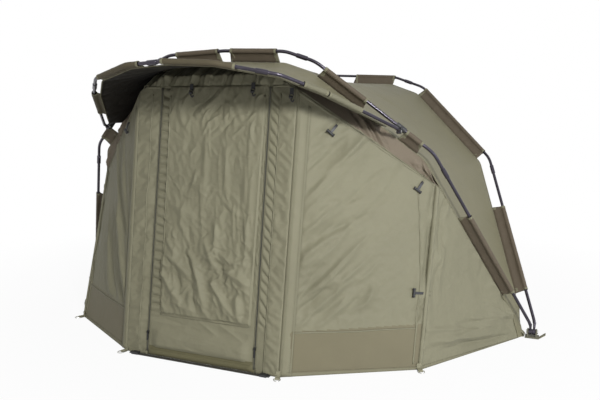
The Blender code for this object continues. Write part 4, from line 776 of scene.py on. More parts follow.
def hub_panel(side):
    """The cloth round a hub, between the wing and the back."""
    turn = flip if side > 0 else np.asarray
    back = START * (1, 0, 1) + SHIFT + Y * CORNER_OUT
    lap = unit(OUTER - START) * 0.008 + unit(np.cross(OUTER - START, Z)) * 0.002
    fronts = [START + Z * 0.004 + lap, FRONT.at(CANOPY_START + 0.004, drop=SLEEVE_DROP, ahead=SEAM_GAP) + lap]
    lap = unit(BACK - back) * 0.008 - unit(np.cross(BACK - back, Z)) * 0.002
    backs = [back + Z * 0.004 + lap, REAR.at(CANOPY_START + 0.004, drop=SLEEVE_DROP, ahead=-SEAM_GAP) + lap]
    low, high = runs([turn(q) for q in fronts]), runs([turn(q) for q in backs])
    bow = lambda u: X * side * (0.021 * (1 - np.asarray(u)))[:, None]
    return Panel(low, high, 0.14, 0.10, bow, canopy_relief(171, 0.4), side)


def visor_panel():
    """The canopy's front edge, from the front rib to the visor's rib."""
    a = (VISOR_START, VISOR.length - VISOR_START)
    first = JUNCTION + VISOR_START
    b = (first, FRONT.length - first)
    low = lambda u: VISOR.at(a[0] + (a[1] - a[0]) * np.asarray(u), drop=np.full(np.shape(u), VISOR_DROP))
    high = seam_edge(FRONT, *b, 1, 0.004)
    return Panel(low, high, 2.0, 0.62, bowed(VISOR, a, FRONT, b, 0.018), canopy_relief(131, 0.8))


def rear_panel():
    """The back of the canopy from the rear rib down to the hem."""
    tops = [CANOPY_START, REAR.where(-0.800 * HALF_SPAN), REAR.where(-0.400 * HALF_SPAN)]
    tops += [REAR.length - t for t in tops[::-1]]
    back = START * (1, 0, 1) + SHIFT + Y * CORNER_OUT
    feet = np.array([back, BACK, TAIL, flip(TAIL), flip(BACK), flip(back)])
    marks = np.array([(t - tops[0]) / (tops[-1] - tops[0]) for t in tops])
    low = lambda u: np.stack([np.interp(u, marks, feet[:, k]) for k in range(3)], -1)
    high = seam_edge(REAR, tops[0], tops[-1], -1)
    bow = lambda u: -Y * (0.030 * np.sin(math.pi * np.asarray(u)))[:, None]
    strokes = hem_fans(3, marks[1:-1] * 3.2)
    strokes += scatter(153, 18, (0.2, 0.03, 3.0, 0.14), 2, 4, 0.42, 0.011, 0.0080, 0.03)
    strokes += scatter(154, 22, (0.3, 0.5, 2.9, 1.35), 88, 16, 0.42, 0.022, 0.0070)
    return Panel(low, high, 3.2, 1.5, bow, canopy_relief(151, 1.1, strokes, 3.2, 1.5), -1), marks


# Meshes

def linked(made):
    """Puts a new object into the scene."""
    bpy.context.scene.collection.objects.link(made)
    return made


def mesh_object(name, verts, faces, material, uv=None):
    me = bpy.data.meshes.new(name)
    me.from_pydata([tuple(p) for p in verts], [], faces)
    if uv is not None:
        layer = me.uv_layers.new(name="UVMap")
        index = np.empty(len(me.loops), np.int32)
        me.loops.foreach_get("vertex_index", index)
        layer.data.foreach_set("uv", np.asarray(uv, np.float32)[index].ravel())
    me.shade_smooth()
    me.materials.append(material)
    return linked(bpy.data.objects.new(name, me))


def settle(obj):
    """Turns the modifiers' result into the piece's own mesh."""
    bpy.context.view_layer.update()
    mesh = bpy.data.meshes.new_from_object(obj.evaluated_get(bpy.context.evaluated_depsgraph_get()))
    old = obj.data
    obj.modifiers.clear()
    obj.data = mesh
    bpy.data.meshes.remove(old)
    return obj


def quads(columns, rows):
    i, j = np.meshgrid(np.arange(columns - 1), np.arange(rows - 1), indexing="ij")
    a = (i * rows + j).ravel()
    return np.stack([a, a + rows, a + rows + 1, a + 1], 1)


def sheet_object(name, points, material, facing=1, wall=CLOTH, inner=None):
    """A grid of points as thin closed cloth; its wall goes inwards."""
    faces = quads(*points.shape[:2])
    if facing < 0:
        faces = faces[:, ::-1]
    a, b = [np.linalg.norm(np.diff(points, axis=k), axis=2) for k in (0, 1)]
    uv = np.stack(np.meshgrid(*[np.concatenate([[0], np.cumsum(steps)]) for steps in (a.mean(1), b.mean(0))],
                              indexing="ij"), -1)
    made = mesh_object(name, points.reshape(-1, 3), faces.tolist(), material, uv.reshape(-1, 2))
    made["area"] = sum(f.area for f in made.data.polygons)
    made["width"], made["length"] = float(a.sum(0).max()), float(b.sum(1).max())
    thick = made.modifiers.new("Wall", "SOLIDIFY")
    thick.thickness = wall
    thick.offset = -1
    if inner is not None:
        made.data.materials.append(inner)
        thick.material_offset = 1
    return settle(made)


def panel_object(name, panel, material, grid, inner=None, breaks=()):
    u = np.unique(np.concatenate([np.linspace(0, 1, max(4, int(panel.width / grid)) + 1), np.array(breaks)]))
    keep = np.concatenate([[True], np.diff(u) > 1e-4])
    v = np.linspace(0, 1, max(3, int(panel.height / grid)) + 1)
    uu, vv = np.meshgrid(u[keep], v, indexing="ij")
    return sheet_object(name, panel.at(uu, vv), material, panel.facing, inner=inner)


def foot_band(obj, material, top, corner=HUB, clear=0.0):
    """A panel's foot in a second finish, up to a height and clear of a round place at one corner: a coated skirt
    on the windows, painted shade on the door.
    """
    obj.data.materials.append(material)
    for face in obj.data.polygons:
        if face.center.z < top and math.hypot(face.center.x - corner[0], face.center.y - corner[1]) > clear:
            face.material_index = 1


def refined(node, material, bevel):
    """A frame piece with its edges broken, in place of the plain one."""
    mesh = frame["nodes"][node].data.copy()
    mesh.materials.clear()
    mesh.materials.append(material)
    bm = bmesh.new()
    bm.from_mesh(mesh)
    bmesh.ops.remove_doubles(bm, verts=bm.verts, dist=1e-5)
    bmesh.ops.dissolve_limit(bm, angle_limit=math.radians(1.5), verts=bm.verts, edges=bm.edges)
    bm.to_mesh(mesh)
    bm.free()
    made = linked(bpy.data.objects.new(f"{node}_made", mesh))
    soft = made.modifiers.new("Edges", "BEVEL")
    soft.width = bevel
    soft.segments = 2
    soft.limit_method = "ANGLE"
    soft.angle_limit = math.radians(38)
    soft.use_clamp_overlap = True
    settle(made)
    made.data.shade_smooth()
    made.data.set_sharp_from_angle(angle=math.radians(35))
    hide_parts(node)
    return made


def skin(rings):
    """Rings of points as (verts, faces), closed at both ends."""
    n, sides = rings.shape[:2]
    faces = [(k * sides + m, k * sides + (m + 1) % sides,
              (k + 1) * sides + (m + 1) % sides, (k + 1) * sides + m)
             for k in range(n - 1) for m in range(sides)]
    faces += [tuple(range(sides))[::-1], tuple(range((n - 1) * sides, n * sides))]
    return rings.reshape(-1, 3), faces


def tube_mesh(centres, radii, out, side, sides=20):
    """A tube along a path, given its two cross directions at each point."""
    turn = np.linspace(0, 2 * math.pi, sides, endpoint=False)
    return skin(centres[:, None] + radii[:, None, None] * (np.cos(turn)[None, :, None] * out[:, None]
                                                          + np.sin(turn)[None, :, None] * side[:, None]))


def strip_mesh(path, across, half, wall):
    """A thin strap along a path, with square edges."""
    path = np.array(path, float)
    along = unit(np.gradient(path, axis=0))
    normal = unit(np.cross(along, across))
    corners = [(-half, wall / 2), (half, wall / 2), (half, -wall / 2), (-half, -wall / 2)]
    return skin(np.stack([path + across * a + normal * b for a, b in corners], 1))


def turned(centre, axis, profile):
    """A turned piece: radii at distances along an axis."""
    axis = unit(np.array(axis, float))
    other = unit(np.cross(axis, Z if abs(axis[2]) < 0.9 else X))
    distances, radii = np.array(profile).T
    points = centre + axis * distances[:, None]
    return tube_mesh(points, radii, np.broadcast_to(other, points.shape),
                     np.broadcast_to(np.cross(axis, other), points.shape))


def wire(path, radius, sides=8, closed=False):
    """A round wire or cord along a path."""
    path = np.array(path, float)
    steps = np.roll(path, -1, 0) - np.roll(path, 1, 0) if closed else np.gradient(path, axis=0)
    along = unit(steps)
    side = np.cross(along[0], Z if abs(along[0][2]) < 0.9 else X)
    outs = []
    for a in along:
        side = unit(side - a * (side @ a))
        outs.append(side)
    outs = np.array(outs)
    verts, faces = tube_mesh(path, np.full(len(path), radius), outs, np.cross(along, outs), sides)
    if closed:
        faces = faces[:-2]
        last = (len(path) - 1) * sides
        faces += [(last + m, last + (m + 1) % sides, (m + 1) % sides, m) for m in range(sides)]
    return verts, faces


def stations(panel, path, step, least):
    """Places (u, v) evenly along a path on a panel, about a step apart."""
    path = np.array(path, float)
    marks = marks_along(panel.at(path[:, 0], path[:, 1]))
    t = np.linspace(0, marks[-1], max(least, int(marks[-1] / step)) + 1)
    return [np.interp(t, marks, path[:, k]) for k in (0, 1)]


def tape(name, panel, path, half, across, lift, bulge, material, step=0.012):
    """A strip of cloth on a panel along a (u, v) path, as wide as 2 half in metres, u or v across it."""
    u, v = stations(panel, path, step, 2)
    off = np.linspace(-1, 1, 5)
    scale = half / (panel.width if across == "u" else panel.height)
    uu = u[:, None] + (off * scale if across == "u" else 0 * off)
    vv = v[:, None] + (off * scale if across == "v" else 0 * off)
    rise = lift + bulge * (1 - off ** 2)
    points = panel.at(np.clip(uu, 0, 1), np.clip(vv, 0, 1), rise[None, :] + 0 * uu)
    normal = np.cross(points[1:, 1:] - points[:-1, :-1], points[:-1, 1:] - points[1:, :-1]).mean((0, 1))
    want = panel.normal(np.array([u.mean()]), np.array([v.mean()]))[0]
    return sheet_object(name, points, material, 1 if normal @ want > 0 else -1, 0.0007)


def joined(name, parts, material):
    """Closed parts as one object, their faces outwards."""
    verts, faces = [], []
    for points, polygons in parts:
        faces += [tuple(index + len(verts) for index in f) for f in polygons]
        verts += [tuple(p) for p in points]
    made = mesh_object(name, verts, faces, material)
    outward_faces(made)
    return made


def outward_faces(obj):
    bm = bmesh.new()
    bm.from_mesh(obj.data)
    bmesh.ops.recalc_face_normals(bm, faces=bm.faces)
    bm.to_mesh(obj.data)
    bm.free()
    obj.data.shade_smooth()
    obj.data.set_sharp_from_angle(angle=math.radians(42))


def ring_mesh(centre, axis, a, b, inner, outer, half):
    """A round eye with a hole: a bevelled section turned about its axis."""
    bevel, sides = 0.0012, 28
    section = [(inner, -half), (outer - bevel, -half), (outer, -half + bevel), (outer, half - bevel),
               (outer - bevel, half), (inner, half)]
    turn = np.linspace(0, 2 * math.pi, sides, endpoint=False)
    verts = np.array([[centre + axis * w + r * (math.cos(t) * a + math.sin(t) * b) for r, w in section]
                      for t in turn]).reshape(-1, 3)
    n = len(section)
    faces = [(k * n + m, (k + 1) % sides * n + m, (k + 1) % sides * n + (m + 1) % n, k * n + (m + 1) % n)
             for k in range(sides) for m in range(n)]
    return verts, faces


# Finishes

class Nodes:
    """A node tree; an input that is given a socket is linked to it, and any other is set to the value."""

    def __init__(self, tree):
        self.nodes, self.links = tree.nodes, tree.links

    def feed(self, node, inputs):
        for key, value in inputs.items():
            if isinstance(value, bpy.types.NodeSocket):
                self.links.new(value, node.inputs[key])
            else:
                node.inputs[key].default_value = value

    def add(self, kind, inputs=None, **settings):
        made = self.nodes.new(kind)
        for key, value in settings.items():
            setattr(made, key, value)
        self.feed(made, inputs or {})
        return made.outputs

    def place(self, kind="Object"):
        return self.add("ShaderNodeTexCoord")[kind]

    def mixed(self, factor, low, high):
        return self.add("ShaderNodeMix", {0: factor, 6: (*low, 1), 7: (*high, 1)}, data_type="RGBA")[2]

    def cloud(self, place, scale, detail, rough=0.6):
        inputs = {"Scale": scale, "Detail": detail, "Roughness": rough, "Vector": place}
        return self.add("ShaderNodeTexNoise", inputs)[0]

    def ranged(self, value, low, high):
        return self.add("ShaderNodeMapRange", {"To Min": low, "To Max": high, "Value": value})[0]

    def bumped(self, height, strength, distance, below=None):
        """A bump, over the bumps below it."""
        inputs = {"Strength": strength, "Distance": distance, "Height": height}
        return self.add("ShaderNodeBump", inputs if below is None else {**inputs, "Normal": below})[0]

    def seen(self):
        """One for what the camera sees straight or in a reflection, and nothing for the rest."""
        path = self.add("ShaderNodeLightPath")
        return self.add("ShaderNodeMath", {0: path["Is Camera Ray"], 1: path["Is Glossy Ray"]},
                        operation="MAXIMUM")[0]


def tinted(colour, *factors):
    """A colour times one factor, or times one for each channel."""
    return tuple(c * k for c, k in zip(colour, factors if len(factors) > 1 else factors * 3))


def finish(name, colour, rough, metal=0.0):
    """A new material's nodes and shader."""
    made = bpy.data.materials.new(name)
    made.use_nodes = True
    made.diffuse_color = (*colour, 1)
    tree = Nodes(made.node_tree)
    shader = tree.nodes["Principled BSDF"]
    tree.feed(shader, {"Metallic": metal, "Roughness": rough})
    return tree, shader


def nylon(name, colour, rough=0.62, crinkle=0.60):
    """Coated nylon: soft mottling, a fine plain weave and small crinkles."""
    tree, shader = finish(name, colour, rough)
    place, uv = tree.place(), tree.place("UV")
    mottle = tree.cloud(place, 2.6, 4.0)
    base = tree.mixed(mottle, tinted(colour, 0.80), tinted(colour, 1.12))
    warp, weft = [tree.add("ShaderNodeTexWave", {"Scale": 260.0, "Distortion": 0.6, "Vector": uv},
                           bands_direction=way)["Fac"] for way in ("X", "Y")]
    weave = tree.add("ShaderNodeMath", {0: warp, 1: weft}, operation="MULTIPLY")[0]
    woven = tree.add("ShaderNodeMix", {0: 0.10, 6: base, 7: weave},
                     data_type="RGBA", blend_type="MULTIPLY")[2]
    shake = tree.add("ShaderNodeTexNoise", {"Scale": 7.0, "Vector": place})["Color"]
    shaken = tree.add("ShaderNodeMix", {0: 0.12, 4: place, 5: shake}, data_type="VECTOR")[1]
    facets = tree.add("ShaderNodeTexVoronoi", {"Scale": 26.0, "Vector": shaken}, feature="F1")["Distance"]
    bump = tree.bumped(facets, crinkle, 0.004)
    bump = tree.bumped(tree.cloud(place, 38.0, 5.0, 0.65), crinkle * 0.8, 0.0025, bump)
    tree.feed(shader, {"Base Color": woven, "Normal": tree.bumped(weave, 0.25, 0.0003, bump),
                       "Roughness": tree.ranged(mottle, rough - 0.08, rough + 0.10),
                       "Specular IOR Level": 0.18, "Sheen Weight": 0.04, "Sheen Roughness": 0.4})


def webbing(name, colour):
    """Woven tape with ribs across it."""
    tree, shader = finish(name, colour, 0.85)
    ribs = tree.add("ShaderNodeTexWave", {"Scale": 170.0, "Distortion": 1.0, "Vector": tree.place()},
                    wave_type="BANDS", bands_direction="DIAGONAL")["Fac"]
    tree.feed(shader, {"Base Color": tree.mixed(ribs, tinted(colour, 0.7), tinted(colour, 1.25)),
                       "Normal": tree.bumped(ribs, 0.5, 0.0006)})


def anodised(name, colour):
    """Dark anodised tube with faint drawing lines and handling wear."""
    tree, shader = finish(name, colour, 0.28, 0.85)
    place = tree.place()
    worn = [min(1, c * 1.9 + 0.01) for c in colour]
    tree.feed(shader, {"Base Color": tree.mixed(tree.cloud(place, 14.0, 4.0), tinted(colour, 0.75), worn),
                       "Roughness": tree.ranged(tree.cloud(place, 420.0, 2.0), 0.20, 0.40),
                       "Coat Weight": 0.25, "Coat Roughness": 0.15})


def moulded(name, colour, rough=0.48):
    """Moulded plastic with a fine eroded grain."""
    tree, shader = finish(name, colour, rough)
    place = tree.place()
    pale = [c * 1.5 + 0.002 for c in colour]
    tree.feed(shader, {"Base Color": tree.mixed(tree.cloud(place, 30.0, 3.0), tinted(colour, 0.8), pale),
                       "Normal": tree.bumped(tree.cloud(place, 900.0, 2.0), 0.18, 0.0003)})


def plated(name, colour):
    """Plated steel with small stains."""
    tree, shader = finish(name, colour, 0.30, 1.0)
    cloud = tree.cloud(tree.place(), 60.0, 4.0)
    bright = [min(1, c * 1.15) for c in colour]
    tree.feed(shader, {"Base Color": tree.mixed(cloud, tinted(colour, 0.7), bright),
                       "Roughness": tree.ranged(cloud, 0.22, 0.42)})


def finishes():
    """All the finishes, made once from the settings."""
    if "Canopy nylon" not in bpy.data.materials:
        cloth, tubes = bpy.context.scene.tent_cloth, bpy.context.scene.tent_frame
        olive, taupe = tuple(cloth.olive), tuple(cloth.taupe)
        nylon("Canopy nylon", olive)
        # The canopy olive, darker for the roof, the back, the hub corners and the visor: painted shade.
        nylon("Roof nylon", tinted(olive, 0.92, 0.90, 0.84), 0.60, 0.16)
        nylon("Skirt nylon", tinted(olive, 0.81, 0.765, 0.72), 0.60, 0.15)
        # A darker olive for the door's foot and sill hem: painted shade under the swell of the hem.
        nylon("Door foot nylon", tinted(olive, 0.60, 0.58, 0.47), 0.60, 0.15)
        nylon("Vent nylon", tinted(taupe, 1.70, 1.74, 1.78), 0.70, 0.30)
        nylon("Visor nylon", tinted(olive, 0.78), 0.60, 0.20)
        nylon("Shaded visor nylon", tinted(olive, 0.42, 0.37, 0.34), 0.65, 0.20)
        nylon("Zip tape", tinted(olive, 0.78), 0.80, 0.10)
        nylon("Sleeve nylon", tinted(taupe, 1.12), 0.72, 0.25)
        # The visor's underside: a dark coated lining, darkened further as painted shade under the visor.
        nylon("Lining nylon", tinted(taupe, 0.12), 0.55, 0.25)
        nylon("Binding tape", tuple(cloth.binding), 0.75, 0.10)
        nylon("Thread", tinted(olive, 0.55), 0.80, 0.0)
        webbing("Black webbing", (0.016, 0.016, 0.017))
        webbing("Olive webbing", tinted(olive, 1.15))
        webbing("Strap webbing", (0.030, 0.028, 0.020))
        anodised("Anodised pole", tuple(tubes.anodised))
        moulded("Black plastic", tuple(tubes.plastic))
        moulded("Olive plastic", tinted(olive, 0.42), 0.60)
        moulded("Zip coil", (0.030, 0.030, 0.024), 0.40)
        plated("Plated steel", (0.60, 0.60, 0.57))
        plated("Dark plated steel", (0.060, 0.060, 0.055))
    return bpy.data.materials


# Riding on the frame

def on_wall(obj):
    """A piece of the front wall rides the front rib, with a mesh of its own."""
    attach(obj, "front_rib")
    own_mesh(obj)
    return obj


def own_body(node, obj, folds_flat):
    """A fitting rides its own body, and takes a mesh of its own when folds_flat is set."""
    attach(obj, BODY_OF[node])
    if folds_flat:
        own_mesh(obj)
    return obj


def blended(obj, share):
    """Bakes the cloth's placement into its mesh and works out each point's share between two bodies from
    share(points), 0 for the first and 1 for the second.
    """
    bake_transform(obj)
    points = np.array([v.co for v in obj.data.vertices], float).reshape(-1, 3)
    values = np.clip(share(points), 0, 1).astype(np.float32)
    return obj


def fanned(obj, low, high, axis_point):
    """Shares for cloth by its angle about an axis across the tent, in degrees from upright to the back."""
    def share(points):
        d = points - axis_point
        return (np.degrees(np.arctan2(d[:, 1], d[:, 2])) - low) / (high - low)
    return blended(obj, share)


def on_roof(obj):
    return fanned(obj, -FRONT_LEAN, REAR_LEAN, HUB)


def on_rear(obj):
    return fanned(obj, REAR_LEAN, 90.0, HUB)


def on_visor(obj):
    return fanned(obj, -62.0, -32.0, PIN)


def on_ribs(obj):
    """Shares for the small cloth at a hub, by how far it lies before or behind the hub."""
    def share(points):
        return 0.5 + (points[:, 1] - HUB[1]) / (2 * (CORNER_OUT + 0.22 * np.clip(points[:, 2], 0, 1)))
    return blended(obj, share)


# Repeats

def row_tree():
    """Pieces set along a line: stitches, and a zip's teeth."""
    name = "Sewn row"
    if name in bpy.data.node_groups:
        return bpy.data.node_groups[name]
    group = bpy.data.node_groups.new(name, "GeometryNodeTree")
    face = group.interface
    face.new_socket("Line", in_out="INPUT", socket_type="NodeSocketGeometry")
    for label, kind, usual in (("Pitch", "Float", 0.006), ("Size", "Vector", (0.003, 0.001, 0.001)),
                               ("Facing", "Vector", (0, -1, 0))):
        face.new_socket(label, in_out="INPUT", socket_type=f"NodeSocket{kind}").default_value = usual
    face.new_socket("Finish", in_out="INPUT", socket_type="NodeSocketMaterial")
    face.new_socket("Row", in_out="OUTPUT", socket_type="NodeSocketGeometry")
    tree = Nodes(group)
    given = tree.add("NodeGroupInput")
    curve = tree.add("GeometryNodeMeshToCurve", {"Mesh": given["Line"]})[0]
    even = tree.add("GeometryNodeResampleCurve", {"Curve": curve, "Length": given["Pitch"]}, mode="LENGTH")[0]
    tangent = tree.add("GeometryNodeInputTangent")[0]
    along = tree.add("FunctionNodeAlignRotationToVector", {"Vector": tangent}, axis="X")[0]
    flat = tree.add("FunctionNodeAlignRotationToVector", {"Rotation": along, "Vector": given["Facing"]},
                    axis="Z", pivot_axis="X")[0]
    piece = tree.add("GeometryNodeMeshCube", {"Size": given["Size"]})["Mesh"]
    copies = tree.add("GeometryNodeInstanceOnPoints",
                      {"Points": even, "Instance": piece, "Rotation": flat})[0]
    real = tree.add("GeometryNodeRealizeInstances", {0: copies})[0]
    coat = tree.add("GeometryNodeSetMaterial", {"Geometry": real, "Material": given["Finish"]})[0]
    tree.feed(tree.nodes.new("NodeGroupOutput"), {0: coat})
    return group


def row(name, lines, pitch, size, facing, material):
    """Repeats a small block along polylines and returns the plain mesh object."""
    verts, edges = [], []
    for line in lines:
        first = len(verts)
        verts += [tuple(p) for p in line]
        edges += [(k, k + 1) for k in range(first, len(verts) - 1)]
    me = bpy.data.meshes.new(name)
    me.from_pydata(verts, edges, [])
    made = linked(bpy.data.objects.new(name, me))
    live = made.modifiers.new("Row", "NODES")
    live.node_group = row_tree()
    names = {i.name: i.identifier for i in live.node_group.interface.items_tree if i.in_out == "INPUT"}
    live[names["Pitch"]] = float(pitch)
    live[names["Size"]] = tuple(float(c) for c in size)
    live[names["Facing"]] = tuple(float(c) for c in facing)
    live[names["Finish"]] = material
    return settle(made)


def line_on(panel, path, lift=0.0016, side=0.0, across="u"):
    """A polyline on a panel's surface along a (u, v) path, shifted aside in metres."""
    u, v = stations(panel, path, 0.03, 3)
    if across == "u":
        u = np.clip(u + side / panel.width, 0, 1)
    else:
        v = np.clip(v + side / panel.height, 0, 1)
    return panel.at(u, v, lift)


# Poles

def pole_mesh(rib, start, end, ferrule_end=False):
    """A smooth pole, with a ferrule where it takes the next one."""
    ferrule, half, bevel, lip = bpy.context.scene.tent_frame.ferrule, 0.026, 0.0012, 0.0004
    points = np.linspace(start + lip, end - lip, max(8, int((end - start) / 0.012)) + 1)
    marks = [(float(d), POLE_RADIUS) for d in points]
    if ferrule_end:
        marks = [m for m in marks if m[0] < end - half - 0.004]
        marks += [(end - half - 0.002, POLE_RADIUS), (end - half, POLE_RADIUS + 0.0004),
                  (end - half + bevel, ferrule), (end + half - bevel, ferrule), (end + half, ferrule - bevel)]
    distances, radii = np.array(marks).T
    side = np.broadcast_to(rib.forward, (len(marks), 3))
    return tube_mesh(rib.at(distances), radii, rib.outward(distances), side)


def eye_mesh(rib, arm, radius, width, hole):
    """A pole's flattened foot with its round eye."""
    centre = rib.at(0.0)
    eye = ring_mesh(centre, X, rib.out, rib.forward, hole, radius, width / 2)
    t = np.linspace(radius * 0.55, arm, 10)
    wide = np.interp(t, [0, arm * 0.45, arm], [0.0058, 0.0060, POLE_RADIUS])
    deep = np.interp(t, [0, arm * 0.45, arm], [radius * 0.70, POLE_RADIUS, POLE_RADIUS])
    shank = tube_mesh(centre + rib.out * t[:, None], np.ones(len(t)),
                      X * wide[:, None], rib.forward * deep[:, None])
    return [eye, shank]


def flipped(parts):
    return [(flip(p), [tuple(f)[::-1] for f in faces]) for p, faces in parts]


def add_poles():
    """Smooth poles with their ferrules and eyes, in place of the plain ones."""
    metal = finishes()["Anodised pole"]

    def place(name, parts, body):
        made = joined(f"{name}_smooth", parts, metal)
        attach(made, body)
        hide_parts(name)

    for name, rib, shares in (("front", FRONT, FRONT_JOINTS), ("rear", REAR, REAR_JOINTS)):
        body = f"{name}_rib"
        low, high = [rib.where(-share * rib.half) for share in shares]
        foot = eye_mesh(rib, ARM, 0.0145, EYE_PITCH - 0.0006, 0.0053)
        foot.append(pole_mesh(rib, ARM - 0.004, low, True))
        shoulder = [pole_mesh(rib, low, high, True)]
        place(f"{name}_pole_lower_left", foot, body)
        place(f"{name}_pole_lower_right", flipped(foot), body)
        place(f"{name}_pole_shoulder_left", shoulder, body)
        place(f"{name}_pole_shoulder_right", flipped(shoulder), body)
        place(f"{name}_pole_crown", [pole_mesh(rib, high, rib.length - high)], body)
    left, middle, right = [VISOR.where(share * JUNCTION_X) for share in VISOR_JOINTS]
    eye = eye_mesh(VISOR, VISOR_ARM, 0.011, 0.012, 0.0035)
    place("visor_pole_left", eye + [pole_mesh(VISOR, VISOR_ARM - 0.004, left, True)], "visor")
    place("visor_pole_mid_left", [pole_mesh(VISOR, left, middle, True)], "visor")
    place("visor_pole_mid_right", [pole_mesh(VISOR, middle, right)], "visor")
    last = pole_mesh(VISOR, VISOR_ARM - 0.004, VISOR.length - right, True)
    place("visor_pole_right", flipped([*eye, last]), "visor")


# Sleeves

def sleeve_points(rib, start, end, drop, radius, seed):
    """A sleeve's cloth: up from the seam, round the pole and down again."""
    n = max(6, int((end - start) / 0.010)) + 1
    share = np.linspace(0, 1, n)
    foot = [(-drop - 0.004, SEAM_GAP), (-drop * 0.72, 0.0013),
            (-drop * 0.45, 0.0018), (-radius * 1.15, 0.0034)]
    turn = np.linspace(2.62, -2.62, 17)
    loop = [(radius * math.cos(t), radius * math.sin(t)) for t in turn]
    profile = np.array([*foot, *loop, *[(a, -b) for a, b in foot[::-1]]])
    reach = np.clip(-profile[:, 0] / drop, 0, 1)
    flare = 0.010 * reach
    d = start - flare[None, :] + (end - start + 2 * flare[None, :]) * share[:, None]
    grow = 1 + 0.05 * noise(d * 45, reach[None, :] * 2 + 3, seed)
    out = profile[None, :, 0] * np.where(reach > 0.3, 1, grow)
    side = profile[None, :, 1] * grow
    pull = 0.0022 * noise(d * 30, reach[None, :] * 1.5, seed + 7) * np.sin(math.pi * reach)[None, :]
    flat = rib.at(d.ravel())
    return (flat + rib.outward(d.ravel()) * out.ravel()[:, None]
            + rib.forward * (side + pull).ravel()[:, None]).reshape(*d.shape, 3)


def piping(name, rib, start, end, drop, material):
    """The bound edge of the canopy that runs along under the rib."""
    d = np.linspace(start, end, int((end - start) / 0.02) + 1)
    line = rib.at(d, drop=np.full(d.shape, drop))
    side = np.broadcast_to(rib.forward, (len(d), 3))
    return joined(name, [tube_mesh(line, np.full(d.shape, 0.0028), rib.outward(d), side, 8)], material)


def add_sleeves():
    """Sleeves with bound ends, and the canopy's bound edge under each rib."""
    cloth, tubes = finishes(), bpy.context.scene.tent_frame
    taupe, binding = cloth["Sleeve nylon"], cloth["Binding tape"]
    visor = [tuple(VISOR.where(share * JUNCTION_X) for share in span) for span in VISOR_SLEEVES]
    groups = (("front", FRONT, spans(FRONT, FRONT_SLEEVES), SLEEVE_DROP, CANOPY_START, "front_rib"),
              ("rear", REAR, spans(REAR, REAR_SLEEVES), SLEEVE_DROP, CANOPY_START, "rear_rib"),
              ("visor", VISOR, visor, VISOR_DROP, VISOR_START, "visor"))
    for name, rib, places, drop, clear, body in groups:
        edge = piping(f"{name}_canopy_edge", rib, clear, rib.length - clear, drop, binding)
        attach(edge, body)
        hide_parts(f"{name}_sleeve_band")
        for index, (start, end) in enumerate(places):
            points = sleeve_points(rib, start, end, drop, tubes.sleeve, 7 * index + len(name))
            kind = taupe if name != "visor" else cloth["Shaded visor nylon" if index < 3 else "Visor nylon"]
            made = sheet_object(f"{name}_sleeve_{index + 1}", points, kind, -1, 0.0008)
            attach(made, body)
            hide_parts(f"{name}_sleeve_band")
            for k, (a, b) in enumerate(((start, start + 0.011), (end - 0.011, end))):
                bound = sleeve_points(rib, a, b, drop, tubes.sleeve + 0.0007, 3)
                trim = sheet_object(f"{name}_sleeve_{index + 1}_binding_{k + 1}", bound, binding, -1, 0.0006)
                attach(trim, body)


# Front wall

